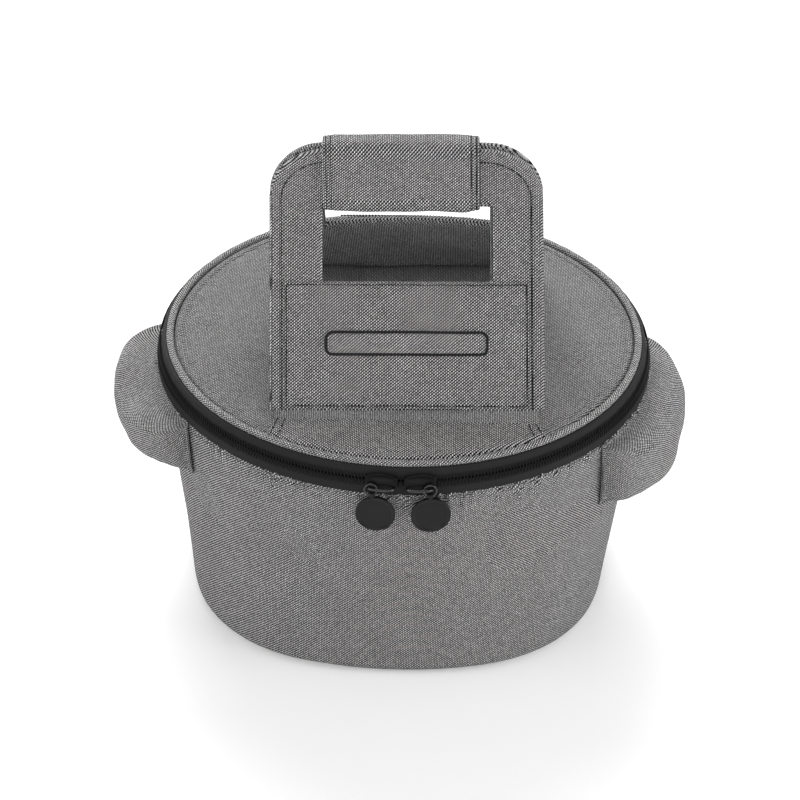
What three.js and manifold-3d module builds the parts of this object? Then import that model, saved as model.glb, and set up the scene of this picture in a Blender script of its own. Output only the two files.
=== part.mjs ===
// Round insulated carrier for a casserole: a padded tub with two side pockets for the pot's lugs,
// a zipped lid, and two sewn handle panels that lean together and are held by a padded grip wrap.
// Millimetres, +Z up, +X to the right, zip pulls at -Y. The origin is the middle of the base's underside.

import * as THREE from "three";
import { mergeVertices } from "three/addons/utils/BufferGeometryUtils.js";
import Module from "manifold-3d";

const wasm = await Module();
wasm.setup();

const DEGREE = Math.PI / 180;
const ROUND_STEPS = 60; // steps in a full turn of the tub and lid
const WIRE_SIDES = 8; // sides of a wire's section
const DISC_STEPS = 28; // steps round a pull

// Fabric and padding, outside to inside
const TWILL = 1.2; // outer woven fabric
const FOAM = 4; // insulating foam in the walls and base
const LINING = 0.8; // inside lining
const BOARD = 2; // stiff board under the base foam
const LAYER_GAP = 0.3; // between sewn layers, and wherever two pieces touch
const OVERRUN = 5; // how far a cutter runs past what it cuts
const WELD = 0.0001; // corners closer than this are one corner

// Tub
const TUB_HEIGHT = 150;
const RIM_RADIUS = 155;
const BASE_RADIUS = 135;
const BINDING = 1.2; // bias tape over the raw edges

// Zip band: two tapes, each with a row of coil, sloping in from the tub to the lid
const BAND_HEIGHT = 16;
const BAND_SLOPE_SHARE = 0.2125; // how far the band leans in for each unit of height
const TAPE = 0.8;
const TAPE_MARGIN = 4; // plain tape on the far side of each coil
const COIL_PROUD = 1.2;
const COIL_SLIT = 1.4; // between the two rows, where the slider's post runs
const HINGE_HALF_ANGLE = 17 * DEGREE; // half of the back fabric hinge, where the zip stops
const STOP_ANGLE = 1.5 * DEGREE;
const STOP_PROUD = 0.5; // how far an end stop stands past the coil

// Lid
const LID_RISE = 0.4; // of the cover's edge over the top of the zip band
const LID_CROWN = 2.3; // how far the middle of the cover rises
const ROLL_WIDTH = 5.6; // rolled edge round the lid
const ROLL_HEIGHT = 4.3;
const ROLL_SINK = 2.2; // of the roll under the top of the zip band; the sliders run just below it
const LID_DEPTH = 6.4; // from the cover's edge down to the lining's underside
const LID_BINDING_WIDTH = 2.2;

// Side pockets
const POCKET_TURN = 10.5 * DEGREE; // the pockets sit this far forward of the sides
const POCKET_HALF_ANGLE = 24 * DEGREE;
const POCKET_RIM_DROP = 2; // from the rim down to a pocket's top
const POCKET_HEIGHT = 45;
const POCKET_DEPTH = 30; // how far a pocket stands out from the wall
const POCKET_PAD = 4; // padded fabric of the pocket
const POCKET_UPPER_POWER_SHARE = 3.4; // squareness of the pocket's upper half
const POCKET_LOWER_POWER_SHARE = 2.1; // squareness of its lower half
const POCKET_END_POWER_SHARE = 2.6; // squareness of its plan
const POCKET_LINING_GAP = 0.6; // between a pocket and its lining
const POCKET_MOUTH_MARGIN = 2.5; // wall kept round the pocket's mouth
const POCKET_COLUMNS = 14;
const POCKET_ROWS = 10;

// Sliders and pulls
const SLIDER_LENGTH = 19.5;
const SLIDER_HALF_HEIGHT = 5.2;
const SLIDER_NOSE_HALF_HEIGHT = 3.4;
const SLIDER_PLATE = 1.9;
const SLIDER_BACK_PLATE = 1.2;
const SLIDER_CLEARANCE = 0.6;
const SLIDER_GAP = 2.8; // between the two noses
const SLIDER_POST_LENGTH = 4;
const BAIL_WIRE = 0.8; // radius
const BAIL_RISE = 4.6; // from the plate to the middle of the bail's run
const BAIL_HALF_LENGTH = 7.4;
const BAIL_DROP = 3.2; // the bail lies this far under the chain's middle
const RING_RADIUS = 3.8;
const RING_WIRE = 0.6; // radius
const RING_OUT = 6.8; // from the band's face to the ring
const RING_SIDE = 6; // from the slider's middle towards its tail
const RING_DROP = 2.7; // from the chain's middle to the ring's middle
const EYE_RADIUS = 1.9;
const EYE_BORE = 1.1; // radius
const EYE_LENGTH = 2.6;
const PULL_RADIUS = 12;
const PULL_THICKNESS = 2.2;
const PULL_RIM = 1.6; // width of the raised rim
const PULL_DISH = 0.5; // depth of the face inside the rim
const PULL_DROP = 13.5; // from the ring's wire to the middle of the pull

// Handles
const HANDLE_MIDDLE = -12; // the two handles meet this far in front of the lid's middle
const HANDLE_SPACING = 180.5; // between the two fold lines
const HANDLE_RISE = 0.6; // of the fold line over the crown of the lid
const HANDLE_HALF_WIDTH = 82.8;
const HANDLE_LENGTH = 167.2; // along the panel, from its fold line to its top
const HANDLE_LEAN = 50 * DEGREE; // of the lower panel, from the level
const HANDLE_BEND = 30; // radius of the bend up to the grip
const HANDLE_CORNER = 34; // radius of the two top corners
const HANDLE_FOOT = 4.5; // from the fold line to the panel's lower edge
const GRIP_APART = 6.2; // between the middles of the two grips
const WINDOW_HALF_WIDTH = 51.5;
const WINDOW_HEIGHT = 48.6; // along the panel
const GRIP_HEIGHT = 36; // from the window to the panel's top, along the panel
const CORE = 2; // stiff core of a handle
const APRON_HALF_WIDTH = 74.7; // lower piece sewn over the posts
const APRON = 1;
const APRON_FOOT = 7;
const PATCH_HALF_WIDTH = 50; // blank sewn patch
const PATCH_LOW = 36.5;
const PATCH_HIGH = 52.5;
const PATCH = 0.8;

// Grip wrap
const WRAP = 3;
const WRAP_HALF_WIDTH = 47.5;
const WRAP_OFFSET = -3.6; // the wrap sits this far off the window's middle, towards -X
const WRAP_CLEARANCE = 0.6; // to the grips
const WRAP_FOOT = 2.2; // from the window's top down to the wrap's lower end
const WRAP_LAP = 21; // how far the flap laps the sewn part
const STRIP = 1; // hook or loop tape
const WRAP_TURN = 3.4; // from a corner of the wrap to where its bend begins
const WRAP_END = 5; // from the top of the grips down to the sewn part's upper end
const WRAP_CREST = 1.4; // between the tops of the grips and the wrap over them
const RUN_STEP = 4; // between the places where the wrap is drawn

const tubSlopeShare = (RIM_RADIUS - BASE_RADIUS) / TUB_HEIGHT;
const wallRadius = (z) => BASE_RADIUS + tubSlopeShare * z;
const bandRadius = (z) => RIM_RADIUS - BAND_SLOPE_SHARE * (z - TUB_HEIGHT);
const bandTop = TUB_HEIGHT + BAND_HEIGHT;
const bandMiddle = TUB_HEIGHT + BAND_HEIGHT / 2;
const lidEdge = bandTop + LID_RISE;
const lidUnderside = lidEdge - LID_DEPTH;
const rollLow = bandTop - ROLL_SINK;
const rollRadius = bandRadius(bandTop) - TAPE - LAYER_GAP;
const coverRadius = rollRadius - ROLL_WIDTH - LAYER_GAP;
const coverTop = (radius) => lidEdge + LID_CROWN * (1 - (radius / coverRadius) ** 2);

// Turns any closed geometry into one whose corners are shared and whose faces all have an area
function welded(geometry) {
  const bare = new THREE.BufferGeometry();
  bare.setAttribute("position", geometry.getAttribute("position"));
  if (geometry.index) bare.setIndex(geometry.index);
  const merged = mergeVertices(bare, WELD);
  const corners = merged.index.array;
  const kept = [];
  for (let i = 0; i < corners.length; i += 3) {
    const [a, b, c] = [corners[i], corners[i + 1], corners[i + 2]];
    if (a !== b && b !== c && c !== a) kept.push(a, b, c);
  }
  merged.setIndex(kept);
  return merged;
}

function signedVolume(geometry) {
  const place = geometry.getAttribute("position");
  const corners = geometry.index.array;
  const [a, b, c] = [new THREE.Vector3(), new THREE.Vector3(), new THREE.Vector3()];
  let total = 0;
  for (let i = 0; i < corners.length; i += 3) {
    a.fromBufferAttribute(place, corners[i]);
    b.fromBufferAttribute(place, corners[i + 1]);
    c.fromBufferAttribute(place, corners[i + 2]);
    total += a.dot(b.cross(c));
  }
  return total;
}

// Points every face of a closed geometry outward
function outward(geometry) {
  if (signedVolume(geometry) < 0) {
    const corners = Array.from(geometry.index.array);
    for (let i = 0; i < corners.length; i += 3) {
      [corners[i], corners[i + 1]] = [corners[i + 1], corners[i]];
    }
    geometry.setIndex(corners);
  }
  return geometry;
}

function solidOf(geometry) {
  const shape = outward(welded(geometry));
  const vertProperties = Float32Array.from(shape.getAttribute("position").array);
  const triVerts = Uint32Array.from(shape.index.array);
  return new wasm.Manifold(new wasm.Mesh({ numProp: 3, vertProperties, triVerts }));
}

function geometryOf(solid) {
  const mesh = solid.getMesh();
  const geometry = new THREE.BufferGeometry();
  geometry.setAttribute("position", new THREE.BufferAttribute(mesh.vertProperties, 3));
  geometry.setIndex(new THREE.BufferAttribute(mesh.triVerts, 1));
  return geometry;
}

function cut(geometry, ...tools) {
  const solid = tools.reduce((left, tool) => left.subtract(solidOf(tool)), solidOf(geometry));
  return geometryOf(solid);
}

function joined(...parts) {
  return geometryOf(parts.map(solidOf).reduce((whole, part) => whole.add(part)));
}

function common(geometry, tool) {
  return geometryOf(solidOf(geometry).intersect(solidOf(tool)));
}

function mirroredX(geometry) {
  return outward(welded(geometry.clone().scale(-1, 1, 1)));
}

// Body of revolution about Z from a closed outline of [radius, height] points
function ring(outline) {
  const points = [...outline, outline[0]].map(([radius, z]) => new THREE.Vector2(radius, z));
  const geometry = new THREE.LatheGeometry(points, ROUND_STEPS);
  return outward(welded(geometry.rotateX(Math.PI / 2)));
}

function disc(radius, low, high) {
  return ring([
    [0, low],
    [radius, low],
    [radius, high],
    [0, high],
  ]);
}

function prism(outline, low, high) {
  const shape = new THREE.Shape(outline.map(([x, y]) => new THREE.Vector2(x, y)));
  const geometry = new THREE.ExtrudeGeometry(shape, { depth: high - low, bevelEnabled: false });
  return geometry.translate(0, 0, low);
}

// Slice of a round cake from the Z axis out past everything, used to cut or keep a part of a turn
function sector(from, to, low, high) {
  const reach = RIM_RADIUS + POCKET_DEPTH + OVERRUN;
  const edge = (angle) => [reach * Math.cos(angle), reach * Math.sin(angle)];
  return prism([[0, 0], edge(from), edge((from + to) / 2), edge(to)], low, high);
}

// Closed sheet between an outer and an inner skin over a grid. skin(row, column, side) gives a corner,
// side 1 for the outer skin and 0 for the inner one, and filled(row, column) says which cells exist.
function sheet(rows, columns, skin, filled = () => true) {
  const stride = columns + 1;
  const corner = (row, column, side) => (row * stride + column) * 2 + side;
  const places = [];
  for (let row = 0; row <= rows; row += 1) {
    for (let column = 0; column <= columns; column += 1) {
      places.push(...skin(row, column, 0).toArray(), ...skin(row, column, 1).toArray());
    }
  }
  const faces = [];
  const quad = (a, b, c, d) => faces.push(a, b, c, a, c, d);
  const has = (row, column) =>
    row >= 0 && row < rows && column >= 0 && column < columns && filled(row, column);
  for (let row = 0; row < rows; row += 1) {
    for (let column = 0; column < columns; column += 1) {
      if (!has(row, column)) continue;
      const round = [[row, column], [row, column + 1], [row + 1, column + 1], [row + 1, column]];
      const [top, bottom] = [1, 0].map((side) => round.map(([r, c]) => corner(r, c, side)));
      quad(...top);
      quad(...bottom.reverse());
      const beside = [[row - 1, column], [row, column + 1], [row + 1, column], [row, column - 1]];
      beside.forEach(([r, c], edge) => {
        if (has(r, c)) return;
        const [p, q] = [round[edge], round[(edge + 1) % round.length]];
        quad(corner(...q, 1), corner(...p, 1), corner(...p, 0), corner(...q, 0));
      });
    }
  }
  const geometry = new THREE.BufferGeometry();
  geometry.setAttribute("position", new THREE.Float32BufferAttribute(places, 3));
  geometry.setIndex(faces);
  return outward(droppedUnused(geometry));
}

// Leaves out the corners that no face uses
function droppedUnused(geometry) {
  const place = geometry.getAttribute("position");
  const numbers = new Map();
  const places = [];
  const faces = Array.from(geometry.index.array, (corner) => {
    if (!numbers.has(corner)) {
      numbers.set(corner, numbers.size);
      places.push(place.getX(corner), place.getY(corner), place.getZ(corner));
    }
    return numbers.get(corner);
  });
  const tidy = new THREE.BufferGeometry();
  tidy.setAttribute("position", new THREE.Float32BufferAttribute(places, 3));
  tidy.setIndex(faces);
  return tidy;
}

// Round wire along a curve, closed or with flat ends
function wire(curve, radius, steps) {
  const section = new THREE.Shape();
  section.absarc(0, 0, radius, 0, 2 * Math.PI);
  return new THREE.ExtrudeGeometry(section, {
    extrudePath: curve,
    steps,
    curveSegments: WIRE_SIDES,
    bevelEnabled: false,
  });
}

const finish = (color, roughness, metalness = 0) =>
  new THREE.MeshStandardMaterial({ color, roughness, metalness });

const MATERIALS = {
  twill: finish(0x7f7f80, 0.9),
  lining: finish(0x9a9a9c, 0.7),
  foam: finish(0xe8e6df, 0.95),
  board: finish(0x3a3a3c, 0.7),
  tape: finish(0x1c1c1e, 0.85),
  coil: finish(0x161618, 0.45),
  metal: finish(0x1a1a1c, 0.35, 0.6),
  rubber: finish(0x222224, 0.5),
};

function piece(parent, name, geometry, material) {
  const mesh = new THREE.Mesh(geometry, material);
  mesh.name = name;
  parent.add(mesh);
  return mesh;
}

// Tub: outer wall, foam and lining, all open into the two side pockets, on a four-layer base
function wallLayer(inset, thickness, low, high) {
  return ring([
    [wallRadius(low) - inset - thickness, low],
    [wallRadius(low) - inset, low],
    [wallRadius(high) - inset, high],
    [wallRadius(high) - inset - thickness, high],
  ]);
}

const pocketTop = TUB_HEIGHT - POCKET_RIM_DROP;
const pocketBottom = pocketTop - POCKET_HEIGHT;
const pocketInset = POCKET_PAD + POCKET_LINING_GAP + LINING + POCKET_MOUTH_MARGIN;
const pocketMouths = [-POCKET_TURN, Math.PI + POCKET_TURN].map((middle) => {
  const half = POCKET_HALF_ANGLE - pocketInset / RIM_RADIUS;
  return sector(middle - half, middle + half, pocketBottom + pocketInset, pocketTop - pocketInset);
});

function addTub(parent) {
  const boardLow = TWILL + LAYER_GAP;
  const foamLow = boardLow + BOARD + LAYER_GAP;
  const liningLow = foamLow + FOAM + LAYER_GAP;
  const wallFoamIn = TWILL + LAYER_GAP;
  const wallLiningIn = wallFoamIn + FOAM + LAYER_GAP;
  const insideRadius = (z) => wallRadius(z) - wallLiningIn - LINING - LAYER_GAP;
  const layersTop = TUB_HEIGHT - BINDING - LAYER_GAP;
  const { twill, foam, lining, board, tape } = MATERIALS;

  piece(parent, "tub_wall", cut(wallLayer(0, TWILL, 0, TUB_HEIGHT), ...pocketMouths), twill);
  piece(parent, "base_panel", disc(wallRadius(0) - wallFoamIn, 0, TWILL), twill);
  piece(parent, "base_board", disc(wallRadius(boardLow) - wallFoamIn, boardLow, boardLow + BOARD), board);
  const wallFoam = wallLayer(wallFoamIn, FOAM, foamLow, layersTop);
  piece(parent, "wall_foam", cut(wallFoam, ...pocketMouths), foam);
  const wallLining = wallLayer(wallLiningIn, LINING, foamLow, layersTop);
  piece(parent, "wall_lining", cut(wallLining, ...pocketMouths), lining);
  piece(parent, "base_foam", disc(insideRadius(foamLow), foamLow, foamLow + FOAM), foam);
  piece(parent, "base_lining", disc(insideRadius(liningLow), liningLow, liningLow + LINING), lining);
  const binding = ring([
    [insideRadius(TUB_HEIGHT), TUB_HEIGHT - BINDING],
    [wallRadius(TUB_HEIGHT) - wallFoamIn, TUB_HEIGHT - BINDING],
    [wallRadius(TUB_HEIGHT) - wallFoamIn, TUB_HEIGHT],
    [insideRadius(TUB_HEIGHT), TUB_HEIGHT],
  ]);
  piece(parent, "rim_binding", binding, tape);
}

// Side pockets: half-round boxes on the wall, flat on top and rounded below
function pocketPoint(side, along, down, inset) {
  const half = POCKET_HALF_ANGLE - inset / RIM_RADIUS;
  const middle = (pocketTop + pocketBottom) / 2;
  const halfHeight = (pocketTop - pocketBottom) / 2 - inset;
  const turn = Math.PI * down;
  const power = 2 / (down < 0.5 ? POCKET_UPPER_POWER_SHARE : POCKET_LOWER_POWER_SHARE);
  const lift = Math.sign(Math.cos(turn)) * Math.abs(Math.cos(turn)) ** power;
  const bulge = Math.abs(Math.sin(turn)) ** power;
  const end = (1 - Math.abs(along) ** POCKET_END_POWER_SHARE) ** (1 / POCKET_END_POWER_SHARE);
  const z = middle + halfHeight * lift;
  const radius = wallRadius(z) + LAYER_GAP + (POCKET_DEPTH - inset) * end * bulge;
  const angle = along * half - POCKET_TURN;
  return new THREE.Vector3(side * radius * Math.cos(angle), radius * Math.sin(angle), z);
}

function pocketLayer(side, inset, thickness) {
  // the columns crowd towards the two ends, where the pocket turns into the wall
  const along = (column) => Math.sin(Math.PI * (column / POCKET_COLUMNS - 1 / 2));
  return sheet(POCKET_ROWS, POCKET_COLUMNS, (row, column, outer) =>
    pocketPoint(side, along(column), row / POCKET_ROWS, inset + (outer ? 0 : thickness)),
  );
}

function addPockets(parent) {
  for (const [name, side] of [["left", -1], ["right", 1]]) {
    piece(parent, `${name}_pocket`, pocketLayer(side, 0, POCKET_PAD), MATERIALS.twill);
    const lining = pocketLayer(side, POCKET_PAD + POCKET_LINING_GAP, LINING);
    piece(parent, `${name}_pocket_lining`, lining, MATERIALS.lining);
  }
}

// Zip: a lower tape and coil on the tub, an upper pair on the lid, a fabric hinge where they stop
const coilHeight = (BAND_HEIGHT - COIL_SLIT) / 2 - TAPE_MARGIN;
const back = Math.PI / 2;

function bandLayer(low, high, proud, thickness) {
  return ring([
    [bandRadius(low) + proud - thickness, low],
    [bandRadius(low) + proud, low],
    [bandRadius(high) + proud, high],
    [bandRadius(high) + proud - thickness, high],
  ]);
}

function openAtBack(geometry, half) {
  return cut(geometry, sector(back - half, back + half, 0, bandTop + OVERRUN));
}

const lowerCoilLow = TUB_HEIGHT + TAPE_MARGIN;
const slitLow = lowerCoilLow + coilHeight;
const slitHigh = slitLow + COIL_SLIT;

function coilRow(low) {
  const row = bandLayer(low, low + coilHeight, LAYER_GAP + COIL_PROUD, COIL_PROUD);
  return openAtBack(row, HINGE_HALF_ANGLE + STOP_ANGLE);
}

function addLowerZip(parent) {
  const tape = bandLayer(TUB_HEIGHT + LAYER_GAP, slitLow, 0, TAPE);
  piece(parent, "lower_zip_tape", openAtBack(tape, HINGE_HALF_ANGLE), MATERIALS.tape);
  piece(parent, "lower_zip_coil", coilRow(lowerCoilLow), MATERIALS.coil);

  const gapAngle = LAYER_GAP / RIM_RADIUS;
  const proud = LAYER_GAP + COIL_PROUD + STOP_PROUD;
  const stops = bandLayer(lowerCoilLow, slitLow, proud, proud - LAYER_GAP);
  for (const [name, side] of [["left", 1], ["right", -1]]) {
    const near = back + side * (HINGE_HALF_ANGLE + gapAngle);
    const far = back + side * (HINGE_HALF_ANGLE + STOP_ANGLE - gapAngle);
    const slice = sector(Math.min(near, far), Math.max(near, far), 0, bandTop + OVERRUN);
    piece(parent, `${name}_end_stop`, common(stops, slice), MATERIALS.metal);
  }

  const half = HINGE_HALF_ANGLE - gapAngle;
  const flap = bandLayer(TUB_HEIGHT + LAYER_GAP, bandTop, 0, TAPE);
  const slice = sector(back - half, back + half, 0, bandTop + OVERRUN);
  piece(parent, "lid_hinge_fabric", common(flap, slice), MATERIALS.twill);
}

function addUpperZip(parent) {
  const tape = bandLayer(slitHigh, bandTop, 0, TAPE);
  piece(parent, "upper_zip_tape", openAtBack(tape, HINGE_HALF_ANGLE), MATERIALS.tape);
  piece(parent, "upper_zip_coil", coilRow(slitHigh), MATERIALS.coil);
}

// Lid: rolled edge, crowned cover, foam, lining and the binding over the inside seam
function crowned(radius, drop, low) {
  const shares = [0, 0.45, 0.8, 1];
  const under = low === undefined;
  const top = shares.map((share) => [radius * share, coverTop(radius * share) - drop]);
  const bottom = under
    ? shares.map((share) => [radius * share, coverTop(radius * share) - drop - TWILL])
    : [[0, low], [radius, low]];
  return ring([...bottom, ...top.reverse()]);
}

function addLid(parent) {
  const { twill, foam, lining, tape } = MATERIALS;
  piece(parent, "lid_cover", crowned(coverRadius, 0), twill);
  const foamLow = lidUnderside + LINING + LAYER_GAP;
  piece(parent, "lid_foam", crowned(coverRadius, TWILL + LAYER_GAP, foamLow), foam);
  piece(parent, "lid_lining", disc(coverRadius, lidUnderside, lidUnderside + LINING), lining);

  const sides = 8;
  const middle = [rollRadius - ROLL_WIDTH / 2, rollLow + ROLL_HEIGHT / 2];
  const roll = Array.from({ length: sides }, (_, side) => {
    const turn = (2 * Math.PI * (side + 0.5)) / sides;
    const squareShare = 1 / Math.cos(Math.PI / sides);
    const across = Math.min(1, Math.max(-1, squareShare * Math.cos(turn)));
    const up = Math.min(1, Math.max(-1, squareShare * Math.sin(turn)));
    return [middle[0] + (ROLL_WIDTH / 2) * across, middle[1] + (ROLL_HEIGHT / 2) * up];
  });
  piece(parent, "lid_rolled_edge", ring(roll), twill);

  const bindingHigh = rollLow - LAYER_GAP;
  const binding = ring([
    [coverRadius + LAYER_GAP, lidUnderside],
    [coverRadius + LAYER_GAP + LID_BINDING_WIDTH, lidUnderside],
    [coverRadius + LAYER_GAP + LID_BINDING_WIDTH, bindingHigh],
    [coverRadius + LAYER_GAP, bindingHigh],
  ]);
  piece(parent, "lid_binding", binding, tape);
}

const windowHigh = HANDLE_LENGTH - GRIP_HEIGHT;
const windowLow = windowHigh - WINDOW_HEIGHT;

// Handles. A handle is drawn in its own frame: X across, Y towards the other handle, Z up, the fold
// line at the origin. along runs up the panel from the fold line, out is towards its outer face.
const grippedReach = HANDLE_SPACING / 2 - GRIP_APART / 2;
const straightLength = (grippedReach - HANDLE_BEND * (1 - Math.sin(HANDLE_LEAN))) / Math.cos(HANDLE_LEAN);
const bendLength = HANDLE_BEND * (Math.PI / 2 - HANDLE_LEAN);
const handleFold = lidEdge + LID_CROWN + HANDLE_RISE;
const panelHalf = TWILL + LAYER_GAP + CORE / 2;

function handlePoint(x, along, out) {
  const bent = Math.min(Math.max(along - straightLength, 0), bendLength);
  const angle = HANDLE_LEAN + bent / HANDLE_BEND;
  const straight = Math.min(along, straightLength);
  const upright = Math.max(along - straightLength - bendLength, 0);
  const y =
    straight * Math.cos(HANDLE_LEAN) + HANDLE_BEND * (Math.sin(angle) - Math.sin(HANDLE_LEAN));
  const z =
    straight * Math.sin(HANDLE_LEAN) + HANDLE_BEND * (Math.cos(HANDLE_LEAN) - Math.cos(angle)) + upright;
  return new THREE.Vector3(x, y - out * Math.sin(angle), z + out * Math.cos(angle));
}

function halfWidth(along) {
  const past = Math.min(Math.max(along - (HANDLE_LENGTH - HANDLE_CORNER), 0), HANDLE_CORNER);
  return HANDLE_HALF_WIDTH - HANDLE_CORNER + Math.sqrt(HANDLE_CORNER ** 2 - past ** 2);
}

// Rows where the panel needs them: its foot, the window's edges, the bend and the round corners
function handleRows() {
  const bendSteps = 4;
  const cornerSteps = 5;
  const cornerStart = HANDLE_LENGTH - HANDLE_CORNER;
  const rows = [HANDLE_FOOT, windowLow / 2, windowLow, (windowLow + straightLength) / 2, windowHigh];
  for (let step = 0; step <= bendSteps; step += 1) {
    rows.push(straightLength + (bendLength * step) / bendSteps);
  }
  for (let step = 1; step <= cornerSteps; step += 1) {
    rows.push(cornerStart + HANDLE_CORNER * Math.sin((Math.PI / 2) * (step / cornerSteps)));
  }
  const sorted = rows.filter((row) => row <= HANDLE_LENGTH).sort((one, other) => one - other);
  const apart = (row, index) => index === 0 || row - sorted[index - 1] > LAYER_GAP;
  return sorted.filter(apart);
}

// One layer of the looped panel with its window, between two distances from the middle face
function loopLayer(low, high) {
  const rows = handleRows();
  const windowShare = WINDOW_HALF_WIDTH / HANDLE_HALF_WIDTH;
  const shares = [-1, -windowShare, 0, windowShare, 1];
  const inWindow = (row, column) =>
    rows[row] >= windowLow - LAYER_GAP &&
    rows[row + 1] <= windowHigh + LAYER_GAP &&
    Math.abs(shares[column] + shares[column + 1]) < windowShare + windowShare / 2;
  return sheet(
    rows.length - 1,
    shares.length - 1,
    (row, column, outer) =>
      handlePoint(shares[column] * halfWidth(rows[row]), rows[row], outer ? high : low),
    (row, column) => !inWindow(row, column),
  );
}

// Plain rectangle on the panel, between two heights along it
function panelRectangle(half, from, to, low, high) {
  return sheet(1, 1, (row, column, outer) =>
    handlePoint(column ? half : -half, row ? to : from, outer ? high : low),
  );
}

function addHandle(parent, name) {
  const { twill, board } = MATERIALS;
  const coreHalf = CORE / 2;
  piece(parent, `${name}_handle_outer_fabric`, loopLayer(coreHalf + LAYER_GAP, panelHalf), twill);
  piece(parent, `${name}_handle_core`, loopLayer(-coreHalf, coreHalf), board);
  piece(parent, `${name}_handle_inner_fabric`, loopLayer(-panelHalf, -coreHalf - LAYER_GAP), twill);
  const apronLow = panelHalf + LAYER_GAP;
  const apron = panelRectangle(APRON_HALF_WIDTH, APRON_FOOT, windowLow, apronLow, apronLow + APRON);
  piece(parent, `${name}_handle_apron`, apron, twill);
}

function addPatch(parent) {
  const low = panelHalf + LAYER_GAP + APRON + LAYER_GAP;
  const patch = panelRectangle(PATCH_HALF_WIDTH, PATCH_LOW, PATCH_HIGH, low, low + PATCH);
  piece(parent, "blank_patch", patch, MATERIALS.tape);
}

// Anchors: the part of each handle sewn flat to the lid, from the fold line to the rolled edge, and
// the short fold of fabric that joins each to its panel
function anchorSheet(side) {
  const rows = 3;
  const columns = 8;
  const foldY = HANDLE_MIDDLE + (side * HANDLE_SPACING) / 2;
  const edge = coverRadius - LAYER_GAP;
  return sheet(rows, columns, (row, column, outer) => {
    const x = HANDLE_HALF_WIDTH * ((2 * column) / columns - 1);
    const from = foldY + side * (TWILL + LAYER_GAP);
    const to = side * Math.sqrt(edge ** 2 - x ** 2);
    const y = from + ((to - from) * row) / rows;
    const z = coverTop(Math.hypot(x, y)) + LAYER_GAP + LAYER_GAP + (outer ? TWILL : 0);
    return new THREE.Vector3(x, y, z);
  });
}

function foldStrip() {
  const half = TWILL / 2;
  const end = handlePoint(0, HANDLE_FOOT - LAYER_GAP, 0);
  const across = [Math.sin(HANDLE_LEAN) * half, Math.cos(HANDLE_LEAN) * half];
  const spine = [[0, -half], [end.y / 2, end.z / 3], [end.y, end.z]];
  return sheet(spine.length - 1, 1, (row, column, outer) => {
    const [y, z] = spine[row];
    const sign = outer ? 1 : -1;
    const x = column ? HANDLE_HALF_WIDTH : -HANDLE_HALF_WIDTH;
    return new THREE.Vector3(x, y - sign * across[0], z + sign * across[1]);
  });
}

// Grip wrap, in the lid's frame: a sewn part behind the back grip and a flap that goes over the top,
// down the front, under both grips and up the back, where it closes with hook and loop tape
function gripPoint(side, along, out) {
  const local = handlePoint(0, along, out);
  const y = HANDLE_MIDDLE + side * (HANDLE_SPACING / 2 - local.y);
  return new THREE.Vector3(0, y, handleFold + local.z);
}

const wrapOut = panelHalf + WRAP_CLEARANCE + WRAP / 2;
const loopOut = wrapOut + WRAP / 2 + LAYER_GAP + STRIP / 2;
const hookOut = loopOut + STRIP + LAYER_GAP;
const lapOut = hookOut + STRIP / 2 + LAYER_GAP + WRAP / 2;
const wrapLow = windowHigh - WRAP_FOOT;
const sewnTop = HANDLE_LENGTH - WRAP_END;

// Thick strip whose middle follows places in the YZ plane, as wide as the wrap less its margin
function strip(places, thickness, margin) {
  const last = places.length - 1;
  const half = WRAP_HALF_WIDTH - margin;
  return sheet(last, 2, (row, column, outer) => {
    const before = places[Math.max(row - 1, 0)];
    const after = places[Math.min(row + 1, last)];
    const way = new THREE.Vector3().subVectors(after, before).normalize();
    const away = (outer ? 1 : -1) * (thickness / 2);
    const x = WRAP_OFFSET + half * (column - 1);
    return new THREE.Vector3(x, places[row].y - way.z * away, places[row].z + way.y * away);
  });
}

function gripRun(side, from, to, out) {
  const count = Math.ceil(Math.abs(to - from) / RUN_STEP);
  const step = (to - from) / count;
  return Array.from({ length: count + 1 }, (_, index) => gripPoint(side, from + step * index, out));
}

// Places round a soft bend at a corner, on the way from one point to the next
function bendRound(before, corner, after) {
  const start = before.clone().sub(corner).setLength(WRAP_TURN).add(corner);
  const end = after.clone().sub(corner).setLength(WRAP_TURN).add(corner);
  return new THREE.QuadraticBezierCurve3(start, corner, end).getPoints(3);
}

function flapSpine() {
  const top = handleFold + handlePoint(0, HANDLE_LENGTH, 0).z + WRAP_CREST + WRAP / 2;
  const below = gripPoint(-1, wrapLow, 0).z - WRAP / 2;
  const first = gripPoint(1, sewnTop + LAYER_GAP, wrapOut);
  const frontTop = gripPoint(-1, HANDLE_LENGTH - WRAP, wrapOut);
  const frontFoot = gripPoint(-1, wrapLow + WRAP, wrapOut);
  const lapFoot = gripPoint(1, wrapLow + WRAP, lapOut);
  const corner = (beside, z) => new THREE.Vector3(0, beside.y, z);
  const [topBack, topFront] = [corner(first, top), corner(frontTop, top)];
  const [lowFront, lowBack] = [corner(frontFoot, below), corner(lapFoot, below)];
  return [
    first,
    ...bendRound(first, topBack, topFront),
    ...bendRound(topBack, topFront, frontTop),
    ...gripRun(-1, HANDLE_LENGTH - WRAP, wrapLow + WRAP, wrapOut),
    ...bendRound(frontFoot, lowFront, lowBack),
    ...bendRound(lowFront, lowBack, lapFoot),
    ...gripRun(1, wrapLow + WRAP, wrapLow + WRAP_LAP, lapOut),
  ];
}

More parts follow.
